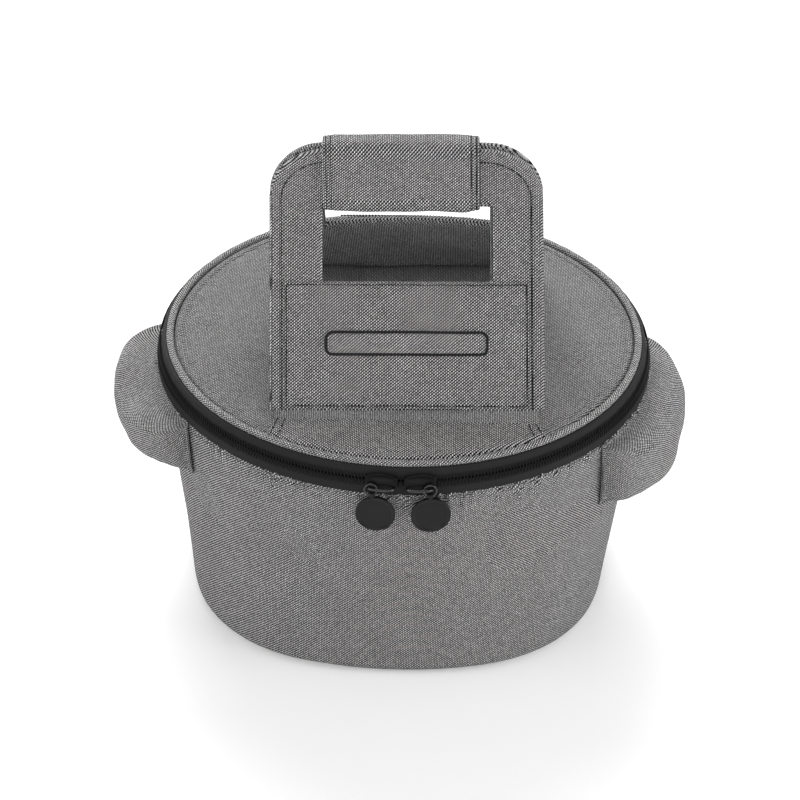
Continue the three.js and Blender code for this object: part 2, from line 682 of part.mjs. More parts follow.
function addWrap(parent) {
  const { twill, tape } = MATERIALS;
  const sewnFoot = windowHigh + LAYER_GAP;
  piece(parent, "wrap_sewn_part", strip(gripRun(1, sewnFoot, sewnTop, wrapOut), WRAP, 0), twill);
  piece(parent, "wrap_flap", strip(flapSpine(), WRAP, 0), twill);
  for (const [name, out] of [["loop", loopOut], ["hook", hookOut]]) {
    const run = gripRun(1, sewnFoot + STRIP, wrapLow + WRAP_LAP, out);
    piece(parent, `wrap_${name}_strip`, strip(run, STRIP, WRAP), tape);
  }
}

// Sliders. Each is drawn with X towards its tail, Y up and Z away from the tub, the origin on the
// face of the band at the middle of the chain
const sagitta = RIM_RADIUS - Math.sqrt(RIM_RADIUS ** 2 - (SLIDER_LENGTH / 2) ** 2);
const plateLow = LAYER_GAP + COIL_PROUD + SLIDER_CLEARANCE;
const plateHigh = plateLow + SLIDER_PLATE;
const bandLean = Math.atan(BAND_SLOPE_SHARE);

function shield(low, high) {
  const half = SLIDER_LENGTH / 2;
  const tailShare = 0.78;
  return prism(
    [
      [-half, -SLIDER_NOSE_HALF_HEIGHT],
      [0, -SLIDER_HALF_HEIGHT],
      [half, -SLIDER_HALF_HEIGHT * tailShare],
      [half, SLIDER_HALF_HEIGHT * tailShare],
      [0, SLIDER_HALF_HEIGHT],
      [-half, SLIDER_NOSE_HALF_HEIGHT],
    ],
    low,
    high,
  );
}

function bail() {
  const foot = plateHigh - BAIL_WIRE;
  const run = plateHigh + BAIL_RISE;
  const curve = new THREE.CatmullRomCurve3(
    [
      [-BAIL_HALF_LENGTH, foot],
      [-BAIL_HALF_LENGTH, plateHigh + BAIL_RISE / 2],
      [-BAIL_HALF_LENGTH / 2, run],
      [BAIL_HALF_LENGTH / 2, run],
      [BAIL_HALF_LENGTH, plateHigh + BAIL_RISE / 2],
      [BAIL_HALF_LENGTH, foot],
    ].map(([x, z]) => new THREE.Vector3(x, -BAIL_DROP, z)),
  );
  return wire(curve, BAIL_WIRE, 14);
}

function sliderBody() {
  const rearHigh = -TAPE - SLIDER_CLEARANCE - sagitta;
  const postHalf = COIL_SLIT / 2 - LAYER_GAP;
  const postStart = -SLIDER_LENGTH / 2 + SLIDER_NOSE_HALF_HEIGHT;
  const post = prism(
    [
      [postStart, -postHalf],
      [postStart + SLIDER_POST_LENGTH, -postHalf],
      [postStart + SLIDER_POST_LENGTH, postHalf],
      [postStart, postHalf],
    ],
    rearHigh - SLIDER_BACK_PLATE / 2,
    plateLow + SLIDER_PLATE / 2,
  );
  return joined(
    shield(plateLow, plateHigh),
    shield(rearHigh - SLIDER_BACK_PLATE, rearHigh),
    post,
    bail(),
  );
}

function linkRing() {
  const steps = 20;
  return new THREE.TorusGeometry(RING_RADIUS, RING_WIRE, WIRE_SIDES, steps);
}

// The pull hangs from the origin, its eye round the ring's lowest wire
function pull() {
  const face = (radius, low, high) => {
    const plate = new THREE.CylinderGeometry(radius, radius, high - low, DISC_STEPS);
    return plate.rotateX(Math.PI / 2).translate(0, -PULL_DROP, (low + high) / 2);
  };
  const half = PULL_THICKNESS / 2;
  const eye = new THREE.CylinderGeometry(EYE_RADIUS, EYE_RADIUS, EYE_LENGTH, DISC_STEPS / 2);
  const bore = new THREE.CylinderGeometry(EYE_BORE, EYE_BORE, EYE_LENGTH + OVERRUN, DISC_STEPS / 2);
  const dishes = [
    face(PULL_RADIUS - PULL_RIM, half - PULL_DISH, half + OVERRUN),
    face(PULL_RADIUS - PULL_RIM, -half - OVERRUN, PULL_DISH - half),
  ];
  const plate = cut(face(PULL_RADIUS, -half, half), ...dishes);
  const whole = joined(plate, eye.rotateZ(Math.PI / 2));
  return cut(whole, bore.rotateZ(Math.PI / 2));
}

const sliderAngle = (SLIDER_GAP / 2 + SLIDER_LENGTH / 2) / bandRadius(bandMiddle);

function addSlider(parent, name, side) {
  const place = side > 0 ? (geometry) => geometry : mirroredX;
  const { metal, rubber } = MATERIALS;
  const upright = new THREE.Group();
  const out = new THREE.Vector3(side * Math.sin(sliderAngle), -Math.cos(sliderAngle), 0);
  const up = new THREE.Vector3(0, 0, 1);
  const across = new THREE.Vector3().crossVectors(up, out);
  upright.applyMatrix4(new THREE.Matrix4().makeBasis(across, up, out));
  upright.position.copy(out).multiplyScalar(bandRadius(bandMiddle)).setZ(bandMiddle);
  parent.add(upright);

  const body = piece(upright, `${name}_slider`, place(sliderBody()), metal);
  body.rotation.x = -bandLean;
  const ringMesh = piece(upright, `${name}_pull_ring`, outward(welded(linkRing())), metal);
  ringMesh.position.set(side * RING_SIDE, -RING_DROP, RING_OUT);
  const pullMesh = piece(upright, `${name}_pull`, pull(), rubber);
  pullMesh.position.set(side * RING_SIDE, -RING_DROP - RING_RADIUS, RING_OUT);
}

const carrier = new THREE.Group();
const lid = new THREE.Group();
carrier.add(lid);
addTub(carrier);
addPockets(carrier);
addLowerZip(carrier);
addUpperZip(lid);
addLid(lid);

for (const [name, side] of [["front", -1], ["back", 1]]) {
  const handle = new THREE.Group();
  handle.position.set(0, HANDLE_MIDDLE + (side * HANDLE_SPACING) / 2, handleFold);
  handle.rotation.z = side > 0 ? Math.PI : 0;
  lid.add(handle);
  piece(lid, `${name}_handle_anchor`, anchorSheet(side), MATERIALS.twill);
  piece(handle, `${name}_handle_fold`, foldStrip(), MATERIALS.twill);
  addHandle(handle, name);
  if (side < 0) addPatch(handle);
}

addWrap(lid);
addSlider(carrier, "left", -1);
addSlider(carrier, "right", 1);

export default carrier;
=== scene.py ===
"""Looks for the round insulated carrier: soft padded twill, zip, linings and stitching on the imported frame.
Metres, +Z up, the zip pulls at -Y. Each piece is drawn from the same sizes as the solid it stands for."""

import math

import bmesh
import bpy
import numpy as np
from mathutils import Matrix, Vector

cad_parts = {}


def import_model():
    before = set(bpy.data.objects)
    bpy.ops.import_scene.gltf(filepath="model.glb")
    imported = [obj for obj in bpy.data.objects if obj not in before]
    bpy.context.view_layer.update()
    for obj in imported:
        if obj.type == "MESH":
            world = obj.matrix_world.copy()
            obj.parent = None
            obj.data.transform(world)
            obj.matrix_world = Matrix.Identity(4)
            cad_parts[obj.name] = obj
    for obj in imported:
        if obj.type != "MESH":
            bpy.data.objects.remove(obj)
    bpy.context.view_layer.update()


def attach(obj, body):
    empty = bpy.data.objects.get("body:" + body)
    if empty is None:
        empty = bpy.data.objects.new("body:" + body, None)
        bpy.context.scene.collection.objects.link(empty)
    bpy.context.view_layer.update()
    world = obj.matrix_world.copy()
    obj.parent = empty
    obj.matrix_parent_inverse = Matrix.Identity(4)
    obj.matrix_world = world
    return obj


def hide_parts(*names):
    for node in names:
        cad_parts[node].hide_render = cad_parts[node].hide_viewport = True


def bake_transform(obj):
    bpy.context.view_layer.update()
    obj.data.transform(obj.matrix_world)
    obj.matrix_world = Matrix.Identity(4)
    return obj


MM = 0.001
# Radius of the innermost ring of a turned body
AXIS = 0.0001
FULL = 2 * math.pi

# Camera, as fitted to the photograph
PHOTO_SIDE = 800
SENSOR = 36
FOCAL_PIXELS = 3418.4
PRINCIPAL = (401.6, 445.2)
ELEVATION = math.radians(34.05)
ROLL = math.radians(1.35)
CAMERA_DISTANCE = 2.2
CAMERA_TARGET = 0.080

# Stage
SKY_LIGHT = 0.47
FLOOR_GLOW = 0.27
LIGHTS = (
    ("behind", (-0.3, 2.3, 1.9), 92, 2.0),
    ("front_low", (-0.2, -2.6, 0.45), 12, 1.6),
    ("left_side", (-2.3, -0.7, 1.1), 15, 1.6),
    ("right_side", (2.3, -0.8, 1.1), 27, 1.6),
)

# Tub
TUB_HEIGHT = 0.150
RIM_RADIUS = 0.155
BASE_RADIUS = 0.135
TWILL = 0.0012
LINING = 0.0008
LINING_INSET = 0.0058
GAP = 0.0003
FLOOR_LOW = 0.0081
FLOOR_EDGE = 0.0085
FLOOR_HIGH = 0.0089
RIM_TAPE_OUTER = 0.0015
RIM_TAPE_INNER = 0.0069
RIM_TAPE_TALL = 0.0013
WALL_BULGE = -0.0012
BASE_ROUND = 0.006
TUB_COLUMNS = 720
TUB_ROWS = 110
PUCKER_DEPTH = 0.0016
PUCKER_FADE = 0.007
PUCKER_WAVES = (151, 173, 197, 118)
SEAM_DROP = 0.0035
SEAM_DEPTH = 0.0005
SEAM_WIDTH = 0.0009
CORNER_FULLNESS = 0.0104
FRONT_FULLNESS = 0.0017
SIDE_WAIST = 0.002
WAIST_LEAN_SHARE = 0.4
BOARD_RADIUS = 0.1295
BOARD_THICKNESS = 0.002

# Zip band
BAND_HEIGHT = 0.016
BAND_SLOPE_SHARE = 0.2125
TAPE = 0.0008
TAPE_MARGIN = 0.004
COIL_SLIT = 0.0014
COIL_PROUD = 0.0012
HINGE_HALF = math.radians(17)
STOP_ANGLE = math.radians(1.5)
TOOTH_PITCH = 0.0021
TOOTH_WIDTH = 0.0009
TOOTH_OVERLAP = 0.0011

# Lid
LID_RISE = 0.0004
LID_CROWN = 0.0023
LID_DEPTH = 0.0064
ROLL_WIDTH = 0.0056
ROLL_HEIGHT = 0.0043
ROLL_SINK = 0.0022
ROLL_SHOWN = 0.0044
COVER_EDGE_BAND = 0.0062
COVER_EDGE_PUFF = 0.0007
COVER_EDGE_DROP = 0.002
COVER_EDGE_FADE = 0.0011
BACK_DIP = 0.003
BACK_DIP_HALF = 0.3
HINGE_STRAIGHT = 0.8
HINGE_FADE_Y = (0.07, 0.14)
HINGE_FADE_Z = (0.09, 0.145)

# Side pockets
POCKET_TURN = math.radians(10.5)
POCKET_HALF = math.radians(24)
POCKET_TOP = 0.148
POCKET_BOTTOM = 0.103
POCKET_DEPTH = 0.030
POCKET_PAD = 0.004
POCKET_END_POWER = 2.6
POCKET_BACK_POWER = 3.3
POCKET_UPPER_POWER = 3.4
POCKET_FRONT_POWER = 9.0
POCKET_LOWER_POWER = {-1: 2.4, 1: 3.4}
POCKET_INSET = 0.0079
POCKET_HANG = {-1: 0.0036, 1: -0.0095}
POCKET_REACH = {-1: 0.0034, 1: -0.0022}
POCKET_DRIFT = {-1: math.radians(2.8), 1: math.radians(4.6)}
POCKET_RIDGE = 0.0017
POCKET_MORE = {-1: math.radians(-1.6), 1: math.radians(4.0)}
POCKET_SPREAD = {-1: 0.0, 1: 0.0046}

# Handles
HANDLE_MIDDLE = -0.012
HANDLE_SPACING = 0.1805
HANDLE_FOLD = 0.1693
HANDLE_HALF_WIDTH = 0.0828
HANDLE_LENGTH = 0.1672
HANDLE_LEAN = math.radians(50)
HANDLE_BEND = 0.030
HANDLE_CORNER = 0.034
HANDLE_FOOT = 0.0042
HANDLE_TILT = math.radians(1.35)
HANDLE_ASIDE = math.radians(1.95)
HANDLE_SAG = {-1: 0.0, 1: 0.0033}
HANDLE_LIFT = {-1: 0.0, 1: 0.0014}
HANDLE_EASE = 0.0006
HANDLE_EASE_FROM = 0.050
HANDLE_EASE_TO = 0.064
PANEL_SEED = 91
APRON_SEED = 95
PATCH_SEED = 97
HANDLE_TOP_SHARE = {-1: 0.95, 1: 1.0}
ASIDE_HEIGHT = 0.2528
ANCHOR_NARROW = 0.0023
ANCHOR_FLARE = 0.0032
ANCHOR_STITCHES = (0.0024, 0.0070)
PANEL_HALF = 0.0025
GRIP_APART = 0.0062
WINDOW_HALF = 0.0515
WINDOW_LOW = 0.0826
WINDOW_HIGH = 0.1296
WINDOW_PINCH = 0.5
WINDOW_PINCH_FADE = 0.0035
BINDING_WIDTH = 0.0095
BINDING = 0.0005
BINDING_STITCHES = (0.0069,)
WINDOW_TURN = 0.005
APRON_HALF = 0.0747
APRON_FOOT = 0.0046
APRON = 0.0010
PATCH_HALF = 0.050
PATCH_LOW = 0.0365
PATCH_HIGH = 0.0525
PATCH = 0.0008

# Grip wrap
WRAP = 0.003
WRAP_HALF = 0.0475
WRAP_OFFSET = -0.0028
WRAP_CLEARANCE = 0.0006
WRAP_FOOT = -0.0002
WRAP_LAP = 0.021
WRAP_END = 0.005
WRAP_CREST = 0.0026
WRAP_TURN = 0.0034
STRIP = 0.001
WRAP_TOP_TURN = 0.007
WRAP_STITCHES = (0.0022, 0.0050)

# Sliders and pulls
SLIDER_ANGLE = 0.07274
SLIDER_LENGTH = 0.0195
SLIDER_HALF_HEIGHT = 0.0052
SLIDER_NOSE = 0.0034
SLIDER_TAIL_SHARE = 0.78
SLIDER_CORNER = 0.0024
SLIDER_DOME = 0.0012
SLIDER_BEVEL = 0.0009
POST_HALF_LENGTH = 0.002
POST_PLACE = 0.0054
POST_CORNER = 0.0003
TAPE_ROOM = 0.0006
PLATE_LOW = 0.0021
PLATE = 0.0019
BACK_PLATE = 0.0012
BAIL_WIRE = 0.0008
BAIL_RISE = 0.0046
BAIL_HALF = 0.0074
BAIL_DROP = 0.0032
RING_RADIUS = 0.0038
RING_WIRE = 0.0006
RING_OUT = 0.0068
RING_SIDE = 0.006
RING_DROP = 0.0027
PULL_RADIUS = 0.012
PULL_THICKNESS = 0.0022
PULL_RIM = 0.0016
PULL_DISH = 0.0009
PULL_DROP = 0.0135
PULL_TILT = {"left": math.radians(-9.6), "right": math.radians(2.5)}
EYE_RADIUS = 0.0019
EYE_BORE = 0.0011
EYE_HALF = 0.0013
EYE_BEVEL = 0.0003
PULL_PIVOT = (RING_SIDE, -RING_DROP, RING_OUT)

# Cloth of the side pockets, as it settles
CLOTH = {"quality": 6, "mass": 0.25, "tension_stiffness": 18, "compression_stiffness": 12,
         "shear_stiffness": 8, "bending_stiffness": 0.4}

# Width of one yarn of the twill, each way
WARP = 0.00054
WEFT = 0.00046

# Thread
STITCH = 0.0014
STITCH_GAP = 0.0005
THREAD = 0.00036

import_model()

slope = (RIM_RADIUS - BASE_RADIUS) / TUB_HEIGHT
band_top = TUB_HEIGHT + BAND_HEIGHT
band_middle = TUB_HEIGHT + BAND_HEIGHT / 2
roll_radius = RIM_RADIUS - BAND_SLOPE_SHARE * BAND_HEIGHT - TAPE - GAP
roll_low = band_top - ROLL_SINK
cover_radius = roll_radius - ROLL_WIDTH - GAP
lid_edge = band_top + LID_RISE
lid_underside = lid_edge - LID_DEPTH
reach = (HANDLE_SPACING - GRIP_APART) / 2
straight_length = (reach - HANDLE_BEND * (1 - math.sin(HANDLE_LEAN))) / math.cos(HANDLE_LEAN)
bend_length = HANDLE_BEND * (math.pi / 2 - HANDLE_LEAN)
anchor_shift = (ASIDE_HEIGHT - HANDLE_FOLD) * HANDLE_ASIDE


def wall_radius(z):
    return BASE_RADIUS + slope * z


def band_radius(z):
    return RIM_RADIUS - BAND_SLOPE_SHARE * (z - TUB_HEIGHT)


def smooth(low, high, value):
    t = np.clip((value - low) / (high - low), 0, 1)
    return t * t * (3 - 2 * t)


def waves(angle, counts, seed):
    """Sum of waves round the tub, from -1 to 1 or so, the same in each run."""
    phases = np.random.default_rng(seed).uniform(0, FULL, len(counts))
    return sum(np.sin(k * angle + p) for k, p in zip(counts, phases)) / math.sqrt(len(counts))


def soft_noise(x, y, size, seed):
    """Smooth unevenness over a flat piece, about -1 to 1, with lumps of that size."""
    r = np.random.default_rng(seed)
    total = np.zeros_like(x)
    for _ in range(9):
        a, k, p = r.uniform(0, FULL), r.uniform(0.5, 1.5) / size, r.uniform(0, FULL)
        total = total + np.sin(FULL * k * (x * math.cos(a) + y * math.sin(a)) + p)
    return total / 3


# Building meshes

def straightened(points):
    """The back of the carrier between the two ends of the zip is nearly straight."""
    x, y, z = points[..., 0], points[..., 1], points[..., 2]
    sideways = np.minimum(np.abs(x), RIM_RADIUS * math.sin(HINGE_HALF))
    bow = np.sqrt(RIM_RADIUS ** 2 - sideways ** 2) - RIM_RADIUS * math.cos(HINGE_HALF)
    near = smooth(HINGE_FADE_Y[0], HINGE_FADE_Y[1], y) * smooth(HINGE_FADE_Z[0], HINGE_FADE_Z[1], z)
    return np.stack([x, y - HINGE_STRAIGHT * bow * near, z], -1)


def mesh_object(name, points, quads, uv, uv_quads, materials, face_material=None):
    points = straightened(np.asarray(points, dtype=float))
    mesh = bpy.data.meshes.new(name)
    mesh.vertices.add(len(points))
    mesh.vertices.foreach_set("co", np.ascontiguousarray(points, np.float32).ravel())
    mesh.loops.add(quads.size)
    mesh.loops.foreach_set("vertex_index", quads.ravel().astype(np.int32))
    mesh.polygons.add(len(quads))
    mesh.polygons.foreach_set("loop_start", np.arange(0, quads.size, quads.shape[1], dtype=np.int32))
    mesh.polygons.foreach_set("use_smooth", np.ones(len(quads), bool))
    if face_material is not None:
        mesh.polygons.foreach_set("material_index", np.asarray(face_material, np.int32))
    if uv is not None:
        layer = mesh.uv_layers.new(name="weave")
        layer.data.foreach_set("uv", uv[uv_quads.ravel()].astype(np.float32).ravel())
    mesh.update(calc_edges=True)
    mesh.validate()
    piece = bpy.data.objects.new(name, mesh)
    bpy.context.scene.collection.objects.link(piece)
    for material in materials:
        mesh.materials.append(material)
    return piece


def wrapped(points, around, along, uv, name, materials):
    """Grid of points whose rows and columns may close on themselves."""
    rows, columns = points.shape[:2]
    last_row, last_column = (rows if along else rows - 1), (columns if around else columns - 1)
    r, c = np.meshgrid(np.arange(last_row), np.arange(last_column), indexing="ij")
    corners = [(r, c), (r, c + 1), (r + 1, c + 1), (r + 1, c)]
    quads = np.stack([(a % rows) * columns + (b % columns) for a, b in corners], -1).reshape(-1, 4)
    uv_quads = np.stack([a * uv.shape[1] + b for a, b in corners], -1).reshape(-1, 4)
    return mesh_object(name, points.reshape(-1, 3), quads, uv.reshape(-1, 2), uv_quads, materials)


def slab(name, outer, inner, uv, materials, filled=None, two_faced=False):
    """Closed piece between an outer and an inner grid, with holes where filled is False."""
    rows, columns = outer.shape[:2]
    n = rows * columns
    if filled is None:
        filled = np.ones((rows - 1, columns - 1), bool)
    r, c = np.nonzero(filled)
    first = r * columns + c
    face = np.stack([first, first + 1, first + columns + 1, first + columns], -1)
    padded = np.pad(filled, 1)
    borders = []
    for (dr, dc), (p, q) in {(-1, 0): (0, 1), (0, 1): (1, 2), (1, 0): (2, 3), (0, -1): (3, 0)}.items():
        open_side = ~padded[r + 1 + dr, c + 1 + dc]
        a, b = face[open_side, p], face[open_side, q]
        borders.append(np.stack([b, a, a + n, b + n], -1))
    rim = np.concatenate(borders)
    quads = np.concatenate([face, face[:, ::-1] + n, rim])
    used = np.unique(quads)
    number = np.zeros(2 * n, int)
    number[used] = np.arange(len(used))
    points = np.concatenate([outer.reshape(-1, 3), inner.reshape(-1, 3)])[used]
    flat = uv.reshape(-1, 2)
    both = np.concatenate([flat, flat])[used]
    index_of = number[quads]
    paint = None
    if two_faced:
        paint = np.concatenate([np.zeros(len(face)), np.ones(len(face)), np.zeros(len(rim))])
    return mesh_object(name, points, index_of, both, index_of, materials, paint)


def revolve(name, outline, columns, materials, ripple=None, spin=0.0):
    """Body of revolution of a closed outline of (radius, z), with an optional ripple(angle, r, z)."""
    outline = np.asarray(outline, float)
    angle = np.linspace(0, FULL, columns, endpoint=False) + spin
    a, r = np.meshgrid(angle, outline[:, 0], indexing="ij")
    z = np.broadcast_to(outline[:, 1], r.shape).copy()
    if ripple is not None:
        r, z = ripple(a, r, z)
    points = ring_points(r, a, z)
    arc = arc_length(np.r_[outline, outline[:1]])
    middle = outline[:, 0].mean()
    u, v = np.meshgrid(np.linspace(0, FULL, columns + 1) * middle, arc, indexing="ij")
    return wrapped(points, True, True, np.stack([u, v], -1), name, materials)


def unit(vectors):
    return vectors / np.linalg.norm(vectors, axis=-1, keepdims=True)


def ring_points(r, angle, z):
    return np.stack([r * np.cos(angle), r * np.sin(angle), z], -1)


def even_uv(width, rows, height, columns):
    """Weave coordinates at even steps over a grid."""
    u, v = np.linspace(0, width, rows), np.linspace(0, height, columns)
    return np.stack(np.meshgrid(u, v, indexing="ij"), -1)


def arc_length(path):
    """Length along a path up to each of its points."""
    return np.r_[0, np.cumsum(np.linalg.norm(np.diff(path, axis=0), axis=1))]


def read_off(places, length, values):
    """Values at the given lengths along a path."""
    return np.stack([np.interp(places, length, values[:, k]) for k in range(values.shape[1])], -1)


def evened(path, count):
    """The same path with its points at even lengths."""
    length = arc_length(path)
    return read_off(np.linspace(0, length[-1], count), length, path)


def resampled(path, step):
    return evened(path, max(2, int(round(arc_length(path)[-1] / step)) + 1))


def bent(before, corner, after, size, steps):
    """Curve that rounds the corner between two other points."""
    start, end = corner + unit(before - corner) * size, corner + unit(after - corner) * size
    t = np.linspace(0, 1, steps)[:, None]
    return (1 - t) ** 2 * start + 2 * t * (1 - t) * corner + t ** 2 * end


def rod_quads(rings, sides, caps):
    """Faces of a rod made of rings of points, with a cap at each end."""
    quads = []
    for k in range(rings - 1):
        for j in range(sides):
            here, beside = k * sides + j, k * sides + (j + 1) % sides
            quads.append([here, beside, beside + sides, here + sides])
    last = (rings - 1) * sides
    quads += [quad[::-1] for quad in caps] + [[last + corner for corner in quad] for quad in caps]
    return np.array(quads)


def coordinates(mesh):
    flat = np.empty(len(mesh.vertices) * 3)
    mesh.vertices.foreach_get("co", flat)
    return flat.reshape(-1, 3)


def stitches(name, lines, material, body):
    """Thread along several lines. Each line is (path, out): points and the directions out of the cloth."""
    ring_count, sides = 5, 6
    along = np.linspace(-1, 1, ring_count)
    round_angle = np.linspace(0, FULL, sides, endpoint=False)
    one_stitch = rod_quads(ring_count, sides, [[0, 1, 2, 3], [3, 4, 5, 0]])
    points, quads = [], []
    for path, out in lines:
        length = arc_length(path)
        count = int(length[-1] / (STITCH + STITCH_GAP))
        centre = (np.arange(count) + 0.5) * length[-1] / max(count, 1)
        for s in centre:
            spots = read_off(s + along * STITCH / 2, length, path)
            normal = unit(read_off(s, length, out))
            across = np.cross(unit(spots[-1] - spots[0]), normal)
            sunk = THREAD * (0.75 - 1.15 * along ** 2)
            width = THREAD * np.sqrt(np.maximum(1 - 0.6 * along ** 2, 0.05))
            ring = spots[:, None, :] + normal * sunk[:, None, None] + width[:, None, None] * (
                across * np.cos(round_angle)[None, :, None] + normal * np.sin(round_angle)[None, :, None]
            )
            quads.append(one_stitch + len(points) * ring_count * sides)
            points.append(ring.reshape(-1, 3))
    points, quads = np.concatenate(points), np.concatenate(quads)
    dress(mesh_object(name, points, quads, points[:, :2], quads, [material]), body, "black_tape")


def dress(piece, body, slot_name, *nodes):
    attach(piece, body)
    if nodes:
        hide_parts(*nodes)


# Materials

class Graph:
    """Small helper that adds nodes to a material and joins them."""

    def __init__(self, name):
        self.material = bpy.data.materials.new(name)
        self.material.use_nodes = True
        self.nodes = self.material.node_tree.nodes
        self.links = self.material.node_tree.links
        self.shader = next(n for n in self.nodes if n.type == "BSDF_PRINCIPLED")

    def put(self, socket, value):
        if isinstance(value, bpy.types.NodeSocket):
            self.links.new(value, socket)
        else:
            socket.default_value = value

    def math(self, operation, *values):
        node = self.nodes.new("ShaderNodeMath")
        node.operation = operation
        for socket, value in zip(node.inputs, values):
            self.put(socket, value)
        return node.outputs[0]

    def level(self, base, value, share):
        """A base level plus a share of a varying value."""
        return self.math("ADD", base, self.math("MULTIPLY", value, share))

    def noise(self, vector, scale, detail=2.0, roughness=0.5):
        node = self.nodes.new("ShaderNodeTexNoise")
        self.put(node.inputs["Vector"], vector)
        self.put(node.inputs["Scale"], scale)
        self.put(node.inputs["Detail"], detail)
        self.put(node.inputs["Roughness"], roughness)
        return node.outputs["Fac"]

    def cell(self, vector):
        node = self.nodes.new("ShaderNodeTexWhiteNoise")
        node.noise_dimensions = "3D"
        self.put(node.inputs["Vector"], vector)
        return node.outputs["Value"]

    def combine(self, x, y, z=0.0):
        node = self.nodes.new("ShaderNodeCombineXYZ")
        for socket, value in zip(node.inputs, (x, y, z)):
            self.put(socket, value)
        return node.outputs[0]

    def split(self, vector):
        node = self.nodes.new("ShaderNodeSeparateXYZ")
        self.put(node.inputs[0], vector)
        return node.outputs[0], node.outputs[1], node.outputs[2]

    def mix(self, share, one, other):
        node = self.nodes.new("ShaderNodeMix")
        node.data_type = "RGBA"
        self.put(node.inputs["Factor"], share)
        self.put(node.inputs["A"], one)
        self.put(node.inputs["B"], other)
        return node.outputs["Result"]

    def scaled(self, colour, share):
        node = self.nodes.new("ShaderNodeVectorMath")
        node.operation = "SCALE"
        self.put(node.inputs[0], colour)
        self.put(node.inputs["Scale"], share)
        return node.outputs[0]

    def uv(self):
        node = self.nodes.new("ShaderNodeUVMap")
        node.uv_map = "weave"
        return node.outputs[0]

    def place(self):
        return self.nodes.new("ShaderNodeTexCoord").outputs["Object"]

    def bump(self, height, strength, distance):
        node = self.nodes.new("ShaderNodeBump")
        self.put(node.inputs["Height"], height)
        self.put(node.inputs["Strength"], strength)
        self.put(node.inputs["Distance"], distance)
        self.links.new(node.outputs[0], self.shader.inputs["Normal"])


def grey(level, warmth=0.0):
    return (level * (1 + warmth), level, level * (1 - warmth))


def twill(name, light, dull, dark):
    """Heathered two-up, two-down twill of alternate light and dull yarns."""
    g = Graph(name)
    u, v, _ = g.split(g.uv())
    a = g.math("DIVIDE", u, WARP)
    b = g.math("DIVIDE", v, WEFT)
    step_a = g.math("FLOOR", a)
    step_b = g.math("FLOOR", b)
    lag = g.math("SUBTRACT", step_a, step_b)
    over = g.math("LESS_THAN", g.math("FRACT", g.math("DIVIDE", lag, 4.0)), 0.5)
    second = g.math("LESS_THAN", g.math("FRACT", g.math("DIVIDE", step_a, 2.0)), 0.25)
    warp_round = g.math("SINE", g.math("MULTIPLY", g.math("FRACT", a), math.pi))
    weft_round = g.math("SINE", g.math("MULTIPLY", g.math("FRACT", b), math.pi))
    under = g.math("SUBTRACT", 1.0, over)
    profile = g.math("ADD", g.math("MULTIPLY", over, warp_round),
                     g.math("MULTIPLY", under, g.math("MULTIPLY", weft_round, 0.8)))
    single = g.cell(g.combine(step_a, step_b))
    slub = g.noise(g.combine(g.math("MULTIPLY", step_a, 7.3), g.math("MULTIPLY", v, 240.0)), 1.0, 2.0)
    light_level = g.math("ADD", 0.46, g.level(g.math("MULTIPLY", slub, 0.24), single, 0.8))
    dark_level = g.level(0.4, single, 1.2)
    yarn = g.mix(second, g.scaled(dull, light_level), g.scaled(light, light_level))
    cloth = g.mix(over, g.scaled(dark, dark_level), yarn)
    shade = g.level(0.7, profile, 0.4)
    patches = g.noise(g.place(), 42.0, 3.0, 0.6)
    wear = g.level(0.86, patches, 0.28)
    g.put(g.shader.inputs["Base Color"], g.scaled(g.scaled(cloth, shade), wear))
    g.shader.inputs["Roughness"].default_value = 0.92
    g.shader.inputs["Specular IOR Level"].default_value = 0.2
    fuzz = g.noise(g.place(), 900.0, 2.0)
    g.bump(g.level(profile, fuzz, 0.5), 0.55, 0.00022)
    return g.material


def plain_cloth(name, colour, rib, strength, roughness):
    """Plain or ribbed woven cloth: fine crossed yarns, slight unevenness."""
    g = Graph(name)
    u, v, _ = g.split(g.uv())
    one = g.math("SINE", g.math("MULTIPLY", u, FULL / rib[0]))
    two = g.math("SINE", g.math("MULTIPLY", v, FULL / rib[1]))
    woven = g.math("MULTIPLY", g.math("ADD", one, two), 0.25)
    patches = g.noise(g.place(), 60.0, 3.0)
    level = g.level(g.level(0.78, patches, 0.44), woven, 0.35)
    g.put(g.shader.inputs["Base Color"], g.scaled(colour, level))
    g.shader.inputs["Roughness"].default_value = roughness
    g.shader.inputs["Specular IOR Level"].default_value = 0.3
    g.bump(woven, strength, 0.0002)
    return g.material


def smooth_solid(name, colour, roughness, gloss, grain, coat=0.0):
    """Moulded or painted surface: fine grain in the colour, gloss and relief."""
    g = Graph(name)
    speck = g.noise(g.place(), grain, 4.0, 0.65)
    level = g.level(0.8, speck, 0.4)
    g.put(g.shader.inputs["Base Color"], g.scaled(colour, level))
    worn = g.level(roughness - 0.08, g.noise(g.place(), grain / 4, 3.0), 0.16)
    g.put(g.shader.inputs["Roughness"], worn)
    g.shader.inputs["Specular IOR Level"].default_value = gloss
    g.shader.inputs["Coat Weight"].default_value = coat
    g.bump(speck, 0.12, 0.0001)
    return g.material


